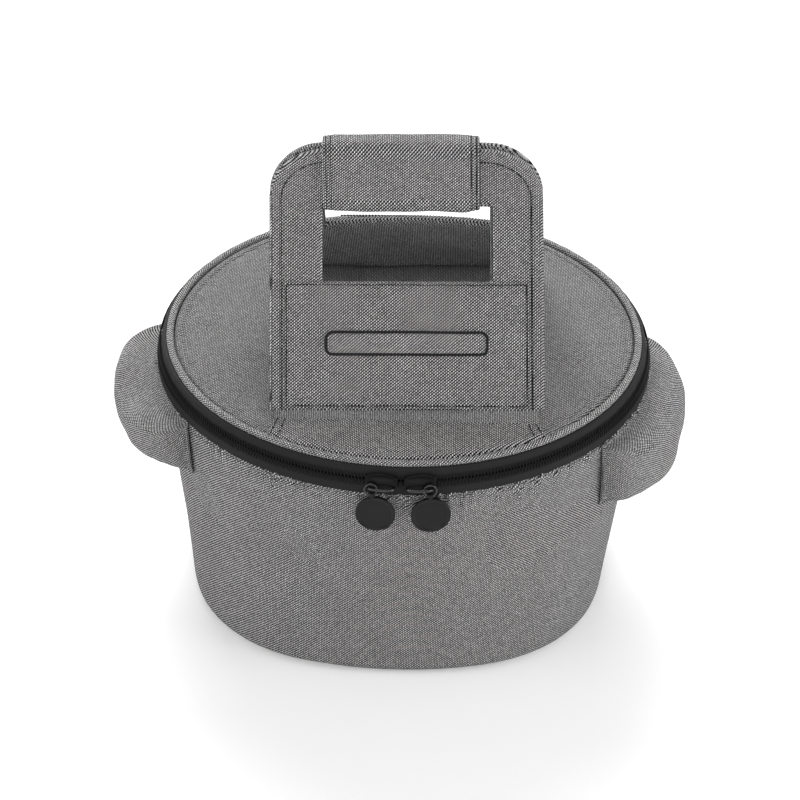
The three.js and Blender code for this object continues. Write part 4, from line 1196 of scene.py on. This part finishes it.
def binding_profile(width, seams, sides=9):
    """Cross-section of the cloth turned over an edge: (distance from the edge inwards, out)."""
    height = PANEL_HALF + 0.0001
    outside = height + BINDING
    depth = np.linspace(width, 0.0014, 26)
    dips = sum(0.00042 * np.exp(-((depth - d) / 0.0008) ** 2) for d in seams)
    fading = (BINDING + 0.0003) * smooth(width * 0.7, width, depth)
    face = outside - dips - fading
    turn = np.linspace(math.pi / 2, -math.pi / 2, sides)
    edge_d = 0.0014 - (0.0014 + BINDING) * np.cos(turn)
    edge_o = outside * np.sin(turn)
    outer = np.r_[np.stack([depth, face], -1), np.stack([edge_d, edge_o], -1)[1:-1],
                  np.stack([depth[::-1], -face[::-1]], -1)]
    low = height - 0.0006
    inner = np.array([[width, -low], [0.0018, -low], [0.0008, -low * 0.7], [0.0006, 0.0],
                      [0.0008, low * 0.7], [0.0018, low], [width, low]])
    return np.r_[outer, inner]


def outline_frame(path, closed):
    """Inward directions, to the left of the path, in the plane of the panel."""
    if closed:
        before, after = np.roll(path, 1, axis=0), np.roll(path, -1, axis=0)
    else:
        before, after = np.r_[path[:1], path[:-1]], np.r_[path[1:], path[-1:]]
    way = after - before
    way = unit(way)
    return np.stack([-way[:, 1], way[:, 0]], -1)


def bound_edge(name, side, path, closed, body, width, seams):
    profile = binding_profile(width, seams)
    inward = outline_frame(path, closed)
    spot = path[:, None, :] + inward[:, None, :] * profile[None, :, :1]
    arc = arc_length(path)
    wobble = 0.00009 * np.sin(arc / 0.0105) + 0.00008 * np.sin(arc / 0.0037 + 1)
    if closed:
        wobble = wobble * np.sin(np.linspace(0, math.pi, len(path))) ** 0.3
    out = profile[None, :, 1] * (1 + wobble[:, None] / PANEL_HALF)
    points = handle_place(side, spot[..., 0], spot[..., 1], out)
    uv = spot + np.abs(out - np.abs(out).max())[..., None] * (np.abs(profile[:, :1]) < 0.0016)[None]
    uv = np.concatenate([uv, uv[:, :1]], axis=1)
    if closed:
        uv = np.concatenate([uv, uv[:1]])
    piece = wrapped(points, True, closed, uv, name, [TWILL_PANEL])
    if not closed:
        close_ends(piece, len(profile), len(path))
    flip_if_inside_out(piece)
    dress(piece, body, "grey_twill")
    lines = []
    for depth in seams:
        spots = path + inward * depth
        if closed:
            spots = np.r_[spots, spots[:1]]
        for face in (1, -1):
            height = face * (PANEL_HALF + BINDING - 0.00018)
            line = handle_place(side, spots[:, 0], spots[:, 1], height)
            lifted = handle_place(side, spots[:, 0], spots[:, 1], height + face * 0.001)
            lines.append((line, lifted - line))
    if lines:
        stitches(f"{name}_thread", lines, THREAD_DARK, body)


def close_ends(piece, ring, count):
    """Caps the two open ends of a swept piece."""
    grid = bmesh.new()
    grid.from_mesh(piece.data)
    grid.verts.ensure_lookup_table()
    first = [grid.verts[i] for i in range(ring)]
    last = [grid.verts[(count - 1) * ring + i] for i in range(ring)]
    faces = [grid.faces.new(first), grid.faces.new(last[::-1])]
    bmesh.ops.triangulate(grid, faces=faces)
    bmesh.ops.recalc_face_normals(grid, faces=grid.faces)
    grid.to_mesh(piece.data)
    grid.free()


def panel_outline():
    start = HANDLE_LENGTH - HANDLE_CORNER
    up = np.stack([np.full(60, HANDLE_HALF_WIDTH), np.linspace(HANDLE_FOOT, start, 60)], -1)
    turn = np.linspace(0, math.pi / 2, 30)[1:]
    centre = HANDLE_HALF_WIDTH - HANDLE_CORNER
    round_up = np.stack([centre + HANDLE_CORNER * np.cos(turn), start + HANDLE_CORNER * np.sin(turn)], -1)
    right = np.r_[up, round_up]
    left = right[::-1] * [-1, 1]
    return resampled(np.r_[right, left], 0.0016)


def rounded_rectangle(half, low, high, corner):
    turn = np.linspace(0, math.pi / 2, 9)
    path = []
    for k, (sideways, upward) in enumerate(((1, 1), (-1, 1), (-1, -1), (1, -1))):
        edge = high if upward > 0 else low
        angle = turn + k * math.pi / 2
        path.append(np.stack([sideways * (half - corner) + corner * np.cos(angle),
                              edge - upward * corner + corner * np.sin(angle)], -1))
    return np.concatenate(path)


def window_outline():
    path = rounded_rectangle(WINDOW_HALF, WINDOW_LOW, WINDOW_HIGH, 0.0016)[::-1]
    return resampled(np.r_[path, path[:1]], 0.0016)[:-1]


def edge_drop(inward, radius):
    """Share by which a rounded edge falls, from 1 on the edge to 0 at its radius inwards."""
    return 1 - np.sqrt(np.clip(1 - (1 - np.clip(inward / radius, 0, 1)) ** 2, 0, 1))


def sewn_rectangle(name, side, half, low, high, out_low, out_high, material, seed, corner, puff):
    """Flat piece sewn on a panel: turned edges, a stitch valley inside them and soft unevenness."""
    fine = np.r_[0, 0.0003, 0.0007, 0.0012, 0.0018, 0.0024, 0.003, 0.004]

    def lines(a, b):
        inner = np.arange(a + 0.0052, b - 0.004, 0.0013)
        return np.r_[a + fine, inner, (b - fine)[::-1]]

    along, x = np.meshgrid(lines(low, high), lines(-half, half), indexing="ij")
    near = np.minimum(np.minimum(along - low, high - along), half - np.abs(x))
    drop = (out_high - out_low) * 0.75 * edge_drop(near, corner)
    valley = 0.0005 * np.exp(-((near - 0.0019) / 0.0007) ** 2)
    soft = puff * smooth(0.003, 0.012, near) * (0.6 + 0.6 * soft_noise(x, along, 0.03, seed))
    outer = handle_place(side, x, along, out_high - drop - valley + soft + panel_relief(x, along, 70))
    inner = handle_place(side, x, along, out_low + panel_relief(x, along, 70) * 0.6)
    return slab(name, outer, inner, np.stack([x, along], -1), [material])


def rectangle_line(side, half, low, high, out, inset, corner=0.0):
    half, low, high = half - inset, low + inset, high - inset
    if corner:
        path = rounded_rectangle(half, low, high, corner)
        path = np.r_[path, path[:1]]
    else:
        path = np.array([(half, low), (half, high), (-half, high), (-half, low), (half, low)])
    path = resampled(path, 0.0015)
    out = out + panel_relief(path[:, 0], path[:, 1], 70)
    line = handle_place(side, path[:, 0], path[:, 1], out)
    lifted = handle_place(side, path[:, 0], path[:, 1], out + MM)
    return line, lifted - line


def satin_edge(name, side, half, low, high, out, body):
    """Rounded black outline of close thread round the blank patch."""
    line, away = rectangle_line(side, half, low, high, out, 0.0012, 0.004)
    line, away = line[:-1], away[:-1]
    away = unit(away)
    way = np.roll(line, -1, axis=0) - np.roll(line, 1, axis=0)
    way = unit(way)
    across = np.cross(way, away)
    turn = np.linspace(0, FULL, 12, endpoint=False)
    wide, tall = 0.00085, 0.00042
    points = (line[:, None] + across[:, None] * (wide * np.cos(turn))[None, :, None]
              + away[:, None] * (tall * np.sin(turn))[None, :, None])
    piece = wrapped(points, True, True, even_uv(0.13, len(line) + 1, 0.004, 13), name, [TAPE_CLOTH])
    dress(piece, body, "black_tape")


def add_anchor(name, side):
    """The part of the handle sewn flat to the lid, from its fold line to the rolled edge."""
    fold = HANDLE_MIDDLE + side * HANDLE_SPACING / 2
    columns = np.linspace(-1, 1, 121)
    columns = np.sign(columns) * (1 - (1 - np.abs(columns)) ** 1.25)
    rows = np.linspace(0, 1, 40)
    t, s = np.meshgrid(rows, columns, indexing="ij")
    half = HANDLE_HALF_WIDTH - ANCHOR_NARROW + ANCHOR_FLARE * t
    x = s * half + anchor_shift
    start = fold + side * (TWILL + GAP)
    end = side * np.sqrt((cover_radius - GAP) ** 2 - x ** 2)
    y = start + (end - start) * t
    round_way = np.minimum(np.hypot(x, y), cover_radius - 0.0004)
    base = cover_height(round_way) - back_dip(np.arctan2(y, x), round_way)
    edge = half - np.abs(s * half)
    lift = GAP + GAP + TWILL - TWILL * 0.8 * edge_drop(edge, 0.0012)
    lift = lift - sum(0.0004 * np.exp(-((edge - d) / 0.0008) ** 2) for d in ANCHOR_STITCHES)
    lift = lift + 0.0003 * soft_noise(x, y, 0.02, 81 + side) * smooth(0, 0.01, edge)
    outer = np.stack([x, y, base + lift], -1)
    inner = np.stack([x, y, base + GAP], -1)
    if side < 0:
        outer, inner = outer[::-1], inner[::-1]
        x, y = x[::-1], y[::-1]
    piece = slab(f"{name}_anchor_cloth", outer, inner, np.stack([x, y], -1), [TWILL_PANEL])
    flip_if_inside_out(piece)
    dress(piece, "lid", "grey_twill", f"{name}_handle_anchor")
    lines = []
    for sign in (1, -1):
        for inset in ANCHOR_STITCHES:
            along = np.linspace(0, 1, 60)
            x_line = sign * (HANDLE_HALF_WIDTH - ANCHOR_NARROW + ANCHOR_FLARE * along - inset) + anchor_shift
            last = side * np.sqrt((cover_radius - 0.002) ** 2 - x_line ** 2)
            first = fold + side * 0.002
            y_line = first + (last - first) * along
            round_way = np.hypot(x_line, y_line)
            height = cover_height(round_way) - back_dip(np.arctan2(y_line, x_line), round_way)
            path = np.stack([x_line, y_line, height + GAP + GAP + TWILL - 0.0001], -1)
            lines.append((path, np.tile([0.0, 0.0, 1.0], (len(y_line), 1))))
    stitches(f"{name}_anchor_thread", lines, THREAD_DARK, "lid")


def flip_if_inside_out(piece):
    grid = bmesh.new()
    grid.from_mesh(piece.data)
    if grid.calc_volume(signed=True) < 0:
        bmesh.ops.reverse_faces(grid, faces=grid.faces)
        grid.to_mesh(piece.data)
    grid.free()


def add_fold(name, side):
    """Fold between the anchor on the lid and the foot of the panel."""
    t = np.linspace(0, 1, 22)
    reach_y = HANDLE_FOOT * math.cos(HANDLE_LEAN)
    reach_z = HANDLE_FOOT * math.sin(HANDLE_LEAN)
    start = np.array([-0.0034, 0.0])
    bend = np.array([0.0008, 0.0])
    end = np.array([reach_y, reach_z]) * 1.12
    spine = ((1 - t) ** 2)[:, None] * start + (2 * t * (1 - t))[:, None] * bend + (t ** 2)[:, None] * end
    way = np.gradient(spine, axis=0)
    way = unit(way)
    normal = np.stack([-way[:, 1], way[:, 0]], -1)
    thickness = np.interp(t, [0, 0.4, 1], [0.0003, 0.0009, 0.0022])
    columns = np.linspace(-1, 1, 110)
    inset = 0.003
    x = columns * (HANDLE_HALF_WIDTH - inset)
    waviness = 1 + 0.08 * np.sin(columns * 50) + 0.06 * np.sin(columns * 23 + 1)
    outer_yz = spine[:, None] + normal[:, None] * (thickness[:, None] * waviness[None])[..., None]
    inner_yz = spine[:, None] - normal[:, None] * (thickness[:, None] * waviness[None])[..., None]
    fold_y = HANDLE_MIDDLE + side * HANDLE_SPACING / 2
    anchor_top = cover_height(np.hypot(x, fold_y)) + GAP + GAP + TWILL - 0.0002
    settle = (anchor_top - HANDLE_FOLD + side * x * HANDLE_TILT)[None] * ((1 - t) ** 2)[:, None]
    outer_yz[..., 1] += settle
    inner_yz[..., 1] += settle

    def world(yz):
        return tilted(np.stack([np.broadcast_to(-side * x, yz.shape[:2]), fold_y - side * yz[..., 0],
                                HANDLE_FOLD + yz[..., 1]], -1))

    uv = np.stack(np.meshgrid(np.linspace(-0.012, HANDLE_FOOT, 22), x, indexing="ij")[::-1], -1)
    piece = slab(f"{name}_fold_cloth", world(outer_yz), world(inner_yz), uv, [TWILL_PANEL])
    flip_if_inside_out(piece)
    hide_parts(f"{name}_handle_fold")
    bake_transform(piece)


def add_handle(name, side):
    body = f"{name}_handle"
    layer = PANEL_HALF - TWILL
    for face, low, high in (("outer", layer, PANEL_HALF), ("inner", -PANEL_HALF, -layer)):
        cloth = panel_sheet(f"{name}_{face}_cloth", side, low, high, TWILL_PANEL)
        dress(cloth, body, "grey_twill", f"{name}_handle_{face}_fabric")
    core = panel_sheet(f"{name}_core_board", side, GAP - layer, layer - GAP, BOARD)
    dress(core, body, "stiff_board", f"{name}_handle_core")
    bound_edge(f"{name}_turned_edge", side, panel_outline(), False, body, BINDING_WIDTH, BINDING_STITCHES)
    bound_edge(f"{name}_window_edge", side, window_outline(), True, body, WINDOW_TURN, ())

    low = PANEL_HALF + GAP
    apron_top = WINDOW_LOW - 0.0002
    apron = sewn_rectangle(f"{name}_apron_cloth", side, APRON_HALF, APRON_FOOT, apron_top, low, low + APRON,
                           TWILL_PANEL, APRON_SEED, 0.0012, 0.0004)
    flip_if_inside_out(apron)
    dress(apron, body, "grey_twill", f"{name}_handle_apron")
    line = rectangle_line(side, APRON_HALF, APRON_FOOT, apron_top, low + APRON - 0.0002, 0.0019)
    stitches(f"{name}_apron_thread", [line], THREAD_DARK, body)
    if side < 0:
        face = low + APRON + GAP
        # The patch uses the same lighter twill copy as the rolled edge.
        patch = sewn_rectangle("patch_cloth", side, PATCH_HALF, PATCH_LOW, PATCH_HIGH, face, face + PATCH,
                               TWILL_LIT, PATCH_SEED, 0.0009, 0.0001)
        flip_if_inside_out(patch)
        dress(patch, body, "black_tape", "blank_patch")
        satin_edge("patch_outline", side, PATCH_HALF, PATCH_LOW, PATCH_HIGH, face + PATCH, body)


# Grip wrap

def grip_line(side, along, out):
    """Places beside the middle of a grip, in the (y, z) plane."""
    return handle_place(side, 0.0, along, out, 0)[..., 1:]


def wrap_spine():
    """Middle of the flap in the (y, z) plane: over the top, down the front, under and up the back."""
    wrap_out = PANEL_HALF + WRAP_CLEARANCE + WRAP / 2
    hook_out = wrap_out + WRAP / 2 + GAP + STRIP / 2 + STRIP + GAP
    lap_out = hook_out + STRIP / 2 + GAP + WRAP / 2
    low = WINDOW_HIGH - WRAP_FOOT
    top = grip_line(-1, HANDLE_LENGTH, 0)[1] + WRAP_CREST + WRAP / 2
    below = grip_line(-1, low, 0)[1] - WRAP / 2
    first = grip_line(1, HANDLE_LENGTH - WRAP_END + GAP, wrap_out)
    front_top = grip_line(-1, HANDLE_LENGTH - WRAP, wrap_out)
    front_foot = grip_line(-1, low + WRAP, wrap_out)
    lap_foot = grip_line(1, low + WRAP, lap_out)
    top_back, top_front = np.array([first[0], top]), np.array([front_top[0], top])
    low_front, low_back = np.array([front_foot[0], below]), np.array([lap_foot[0], below])
    parts = [
        first[None],
        bent(first, top_back, top_front, WRAP_TURN, 13),
        bent(top_back, top_front, front_top, WRAP_TOP_TURN, 13),
        grip_line(-1, np.linspace(HANDLE_LENGTH - WRAP, low + WRAP, 24), wrap_out),
        bent(front_foot, low_front, low_back, WRAP_TURN, 13),
        bent(low_front, low_back, lap_foot, WRAP_TURN, 13),
        grip_line(1, np.linspace(low + WRAP, low + WRAP_LAP, 24), lap_out),
    ]
    return resampled(np.concatenate(parts), 0.0011), wrap_out, hook_out, low


def padded_strip(name, spine, half, thickness, material, seed, puff=0.0, ribs=()):
    """Strip along a spine in the (y, z) plane, with rounded sides, stitch valleys and soft padding."""
    way = np.gradient(spine, axis=0)
    way = unit(way)
    normal = np.stack([way[:, 1], -way[:, 0]], -1)
    arc = arc_length(spine)
    fine = np.r_[0, 0.0002, 0.0006, 0.0011, 0.0016, 0.0020, 0.0025, 0.0032, 0.0038, 0.0044, 0.005]
    inner = np.arange(-half + 0.0062, half - 0.005, 0.0012)
    x = np.r_[-half + fine, inner, (half - fine)[::-1]]
    s, across = np.meshgrid(arc, x, indexing="ij")
    end = np.minimum(s, arc[-1] - s)
    near = np.minimum(half - np.abs(across), end)
    radius = thickness * 0.5
    share = np.sqrt(np.clip(1 - (1 - np.clip(near / radius, 0, 1)) ** 2, 0.02, 1))
    calm = smooth(0.001, 0.009, near)
    swell = puff * calm * (0.8 + 0.3 * soft_noise(across, s, 0.025, seed))
    valley = sum(0.0006 * np.exp(-((half - np.abs(across) - d) / 0.0007) ** 2) for d in ribs)
    out = radius * share + (swell - valley) * np.clip(near / radius, 0, 1)

    def world(offset):
        yz = spine[:, None] + normal[:, None] * offset[..., None]
        return tilted(np.stack([WRAP_OFFSET + across, yz[..., 0], yz[..., 1]], -1))

    piece = slab(name, world(out), world(-radius * share), np.stack([across, -s], -1), [material])
    flip_if_inside_out(piece)
    lines = []
    for d in ribs:
        for sign in (1, -1):
            spot = sign * (half - d)
            column = int(np.argmin(np.abs(x - spot)))
            path = world(out)[4:-4, column]
            away = np.stack([0 * normal[:, 0], normal[:, 0], normal[:, 1]], -1)[4:-4]
            lines.append((path, away))
    return piece, lines


def add_wrap():
    spine, wrap_out, hook_out, low = wrap_spine()
    flap, lines = padded_strip("flap_cloth", spine, WRAP_HALF, WRAP, TWILL_PANEL, 101, 0.0011, WRAP_STITCHES)
    dress(flap, "wrap", "grey_twill", "wrap_flap")
    stitches("flap_thread", lines, THREAD_DARK, "wrap")
    line = grip_line(1, np.linspace(WINDOW_HIGH + GAP, HANDLE_LENGTH - WRAP_END, 40), wrap_out)
    sewn, _ = padded_strip("sewn_cloth", line, WRAP_HALF, WRAP, TWILL_BODY, 103)
    dress(sewn, "back_handle", "grey_twill", "wrap_sewn_part")
    loop_out = wrap_out + WRAP / 2 + GAP + STRIP / 2
    for name, out, body in (("loop", loop_out, "back_handle"), ("hook", hook_out, "wrap")):
        line = grip_line(1, np.linspace(WINDOW_HIGH + GAP + STRIP, low + WRAP_LAP, 40), out)
        strip, _ = padded_strip(f"{name}_tape", line, WRAP_HALF - WRAP, STRIP, LOOP_CLOTH, 105)
        dress(strip, body, "black_tape", f"wrap_{name}_strip")


# Sliders and pulls

def slider_place(side, leaning):
    """Turns a slider's own x towards its tail, y up and z outward into the frame."""
    out = np.array([side * math.sin(SLIDER_ANGLE), -math.cos(SLIDER_ANGLE), 0.0])
    up = np.array([0.0, 0.0, 1.0])
    across = np.cross(up, out)
    origin = out * band_radius(band_middle) + up * band_middle
    lean = -math.atan(BAND_SLOPE_SHARE) if leaning else 0.0

    def place(points):
        x, y, z = points[..., 0] * side, points[..., 1], points[..., 2]
        y, z = y * math.cos(lean) - z * math.sin(lean), y * math.sin(lean) + z * math.cos(lean)
        return origin + x[..., None] * across + y[..., None] * up + z[..., None] * out
    return place


def rounded_outline(corners, radius, steps=6):
    """Closed outline with each corner rounded."""
    corners = np.array(corners)
    points = []
    for k, corner in enumerate(corners):
        before, after = corners[k - 1], corners[(k + 1) % len(corners)]
        points.append(bent(before, corner, after, radius, steps))
    return np.concatenate(points)


def cushion(name, outline, low, high, dome, place, bevel=0.0005):
    """Plate with rounded edges and a slightly domed face."""
    size = np.abs(outline).max()
    rings = [(0.02, low), (1 - bevel / size, low)]
    for t in np.linspace(0, math.pi / 2, 5)[1:]:
        rings.append((1 - bevel / size * (1 - math.sin(t)), low + bevel * (1 - math.cos(t))))
    for t in np.linspace(0, math.pi / 2, 5):
        rings.append((1 - bevel / size * (1 - math.cos(t)), high - bevel * (1 - math.sin(t))))
    for share in np.linspace(1 - bevel / size, 0.02, 9)[1:]:
        rings.append((share, high + dome * (1 - share ** 2)))
    grid = np.array([[(x * s, y * s, z) for x, y in outline] for s, z in rings])
    points = place(grid)
    rows, columns = points.shape[:2]
    piece = wrapped(points, True, True, even_uv(0.02, rows + 1, 0.04, columns + 1), name, [BLACK_METAL])
    flip_if_inside_out(piece)
    return piece


def tube(name, path, radius, place, material, closed=False, sides=16):
    path = np.asarray(path)
    if closed:
        way = np.roll(path, -1, axis=0) - np.roll(path, 1, axis=0)
    else:
        way = np.gradient(path, axis=0)
    way = unit(way)
    spread = path.max(axis=0) - path.min(axis=0)
    axis = np.eye(3)[int(np.argmin(spread))]
    one = unit(np.cross(way, axis))
    other = np.cross(way, one)
    turn = np.linspace(0, FULL, sides, endpoint=False)
    grid = (path[:, None] + radius * (one[:, None] * np.cos(turn)[None, :, None]
                                      + other[:, None] * np.sin(turn)[None, :, None]))
    points = place(grid)
    rows = len(path) + (1 if closed else 0)
    piece = wrapped(points, True, closed, even_uv(0.03, rows, 0.006, sides + 1), name, [material])
    if not closed:
        close_ends(piece, sides, len(path))
    flip_if_inside_out(piece)
    return piece


def spline(knots, count):
    """Smooth curve through all the knots."""
    knots = np.asarray(knots, float)
    padded = np.r_[[2 * knots[0] - knots[1]], knots, [2 * knots[-1] - knots[-2]]]
    points = []
    for k in range(len(knots) - 1):
        a, b, c, d = padded[k:k + 4]
        t = np.linspace(0, 1, count, endpoint=False)[:, None]
        points.append(0.5 * (2 * b + (c - a) * t + (2 * a - 5 * b + 4 * c - d) * t ** 2
                             + (3 * b - 3 * c + d - a) * t ** 3))
    return np.r_[np.concatenate(points), knots[-1:]]


def add_slider(name, side):
    """Face, back plate, post and bail of a slider."""
    body = f"{name}_slider"
    half = SLIDER_LENGTH / 2
    tail = SLIDER_HALF_HEIGHT * SLIDER_TAIL_SHARE
    shield = [(-half, -SLIDER_NOSE), (0, -SLIDER_HALF_HEIGHT), (half, -tail),
              (half, tail), (0, SLIDER_HALF_HEIGHT), (-half, SLIDER_NOSE)]
    outline = rounded_outline(shield, SLIDER_CORNER)
    leaning = slider_place(side, True)
    plate_high = PLATE_LOW + PLATE
    front = cushion(f"{name}_slider_face", outline, PLATE_LOW, plate_high, SLIDER_DOME, leaning, SLIDER_BEVEL)
    dress(front, body, "black_metal", f"{name}_slider")
    sagitta = RIM_RADIUS - math.sqrt(RIM_RADIUS ** 2 - half ** 2)
    rear_high = -TAPE - TAPE_ROOM - sagitta
    rear = cushion(f"{name}_slider_back", outline, rear_high - BACK_PLATE, rear_high, 0.0, leaning)
    dress(rear, body, "black_metal")
    tall, long = COIL_SLIT / 2 - GAP, POST_HALF_LENGTH
    post = rounded_outline([(-long, -tall), (long, -tall), (long, tall), (-long, tall)], POST_CORNER, 3)

    def shifted(grid):
        return leaning(grid + [POST_PLACE - half, 0, 0])

    post = cushion(f"{name}_slider_post", post, rear_high - 0.0004, PLATE_LOW + 0.0006, 0.0, shifted)
    dress(post, body, "black_metal")
    foot, run = plate_high - BAIL_WIRE, plate_high + BAIL_RISE
    knots = [(-BAIL_HALF, -BAIL_DROP, foot), (-BAIL_HALF, -BAIL_DROP, plate_high + BAIL_RISE / 2),
             (-BAIL_HALF / 2, -BAIL_DROP, run), (BAIL_HALF / 2, -BAIL_DROP, run),
             (BAIL_HALF, -BAIL_DROP, plate_high + BAIL_RISE / 2), (BAIL_HALF, -BAIL_DROP, foot)]
    bail = tube(f"{name}_slider_bail", spline(knots, 10), BAIL_WIRE, leaning, WIRE_METAL)
    dress(bail, body, "black_metal")


def add_ring(name, side):
    upright = slider_place(side, False)
    turn = np.linspace(0, FULL, 48, endpoint=False)
    circle = np.stack([RING_RADIUS * np.cos(turn), RING_RADIUS * np.sin(turn), 0 * turn], -1) + PULL_PIVOT
    ring = tube(f"{name}_ring", circle, RING_WIRE, upright, WIRE_METAL, True)
    dress(ring, f"{name}_slider", "black_metal", f"{name}_pull_ring")


def pull_section():
    """Half section of the disc, as (radius, height), dished inside a raised rim."""
    half_thick = PULL_THICKNESS / 2
    rim_in = PULL_RADIUS - PULL_RIM
    dish = half_thick - PULL_DISH
    upper = [(r, dish) for r in (AXIS, 0.0003, 0.0009, rim_in - MM)]
    upper += [(rim_in - 0.0004, dish + 0.0001), (rim_in, half_thick - 0.0001)]
    upper += [(PULL_RADIUS - PULL_RIM / 2 + PULL_RIM / 2 * math.sin(t),
               half_thick - 0.0004 + 0.0005 * math.cos(t)) for t in np.linspace(-0.9, math.pi / 2, 9)]
    return np.array(upper + [(r, -z) for r, z in upper[::-1]])


def turned(section, count):
    """Radius across and along, and height, of a section turned round its axis."""
    turn = np.linspace(0, FULL, count, endpoint=False)[:, None]
    r, z = section[None, :, 0], section[None, :, 1]
    return r * np.cos(turn), r * np.sin(turn), z + 0 * turn


def add_pull(name, side):
    upright = slider_place(side, False)
    cosine, sine = math.cos(PULL_TILT[name]), math.sin(PULL_TILT[name])

    def hung(points):
        x, y, z = (points[..., k] - PULL_PIVOT[k] for k in range(3))
        return upright(np.stack([x * cosine - y * sine, x * sine + y * cosine, z], -1) + PULL_PIVOT)

    eye_section = np.array([(EYE_BORE, -EYE_HALF), (EYE_RADIUS - EYE_BEVEL, -EYE_HALF),
                            (EYE_RADIUS, EYE_BEVEL - EYE_HALF), (EYE_RADIUS, EYE_HALF - EYE_BEVEL),
                            (EYE_RADIUS - EYE_BEVEL, EYE_HALF), (EYE_BORE, EYE_HALF)])
    x, y, z = turned(pull_section(), 96)
    disc = np.stack([x, y, z], -1) + PULL_PIVOT - [0, RING_RADIUS + PULL_DROP, 0]
    x, y, z = turned(eye_section, 32)
    eye = np.stack([z, x, y], -1) + PULL_PIVOT - [0, RING_RADIUS, 0]
    pieces = (("disc", disc, 0.07, 0.03, [f"{name}_pull"]), ("eye", eye, 0.01, 0.01, []))
    for part, grid, width, height, nodes in pieces:
        uv = even_uv(width, grid.shape[0] + 1, height, grid.shape[1] + 1)
        piece = wrapped(hung(grid), True, True, uv, f"{name}_pull_{part}", [PULL_RUBBER])
        flip_if_inside_out(piece)
        dress(piece, f"{name}_pull", "pull_rubber", *nodes)


# Kept solids and the stage

def paint_kept_nodes():
    paints = {"base_foam": FOAM_CELLS, "left_end_stop": BLACK_METAL, "right_end_stop": BLACK_METAL}
    for name, material in paints.items():
        node = bpy.data.objects.get(name)
        for slot in node.material_slots:
            slot.material = material


def add_stage():
    bpy.ops.mesh.primitive_plane_add(size=12)
    floor = bpy.context.object
    floor.name = "floor"
    g = Graph("floor_paint")
    speck = g.noise(g.place(), 4.0)
    pale = g.level(0.98, speck, 0.04)
    g.put(g.shader.inputs["Base Color"], g.scaled(grey(0.92), pale))
    g.shader.inputs["Roughness"].default_value = 0.9
    g.shader.inputs["Specular IOR Level"].default_value = 0.1
    glow = g.nodes.new("ShaderNodeEmission")
    glow.inputs["Color"].default_value = (1, 1, 1, 1)
    seen = g.nodes.new("ShaderNodeLightPath").outputs["Is Camera Ray"]
    g.put(glow.inputs["Strength"], g.math("MULTIPLY", seen, FLOOR_GLOW))
    blend = g.nodes.new("ShaderNodeAddShader")
    g.put(blend.inputs[0], g.shader.outputs[0])
    g.put(blend.inputs[1], glow.outputs[0])
    output = next(n for n in g.nodes if n.type == "OUTPUT_MATERIAL")
    g.put(output.inputs["Surface"], blend.outputs[0])
    floor.data.materials.append(g.material)
    world = bpy.data.worlds.new("studio")
    bpy.context.scene.world = world
    world.use_nodes = True
    sky = next(n for n in world.node_tree.nodes if n.type == "BACKGROUND")
    sky.inputs["Color"].default_value = (1, 1, 1, 1)
    nodes, links = world.node_tree.nodes, world.node_tree.links
    shown = nodes.new("ShaderNodeMath")
    shown.operation = "MULTIPLY_ADD"
    links.new(shown.inputs[0], nodes.new("ShaderNodeLightPath").outputs["Is Camera Ray"])
    shown.inputs[1].default_value = 1 - SKY_LIGHT
    shown.inputs[2].default_value = SKY_LIGHT
    links.new(sky.inputs["Strength"], shown.outputs[0])
    for name, place, energy, size in LIGHTS:
        data = bpy.data.lights.new(name, "AREA")
        data.energy = energy
        data.size = size
        light = bpy.data.objects.new(name, data)
        bpy.context.scene.collection.objects.link(light)
        light.location = place
        aim = Vector((0, 0, CAMERA_TARGET)) - Vector(place)
        light.rotation_euler = aim.to_track_quat("-Z", "Y").to_euler()


add_camera()
add_tub()
add_tub_seams()
add_base()
add_pockets()
add_zip()
add_wall_layers()
add_floor_lining()
add_rim_tape()
add_lid_cover()
add_rolled_edge()
add_lid_layers()
for label, side in (("front", -1), ("back", 1)):
    add_anchor(label, side)
    add_fold(label, side)
    add_handle(label, side)
add_wrap()
for label, side in (("left", -1), ("right", 1)):
    add_slider(label, side)
    add_ring(label, side)
    add_pull(label, side)
paint_kept_nodes()
add_stage()
bpy.context.scene.view_settings.view_transform = "Standard"
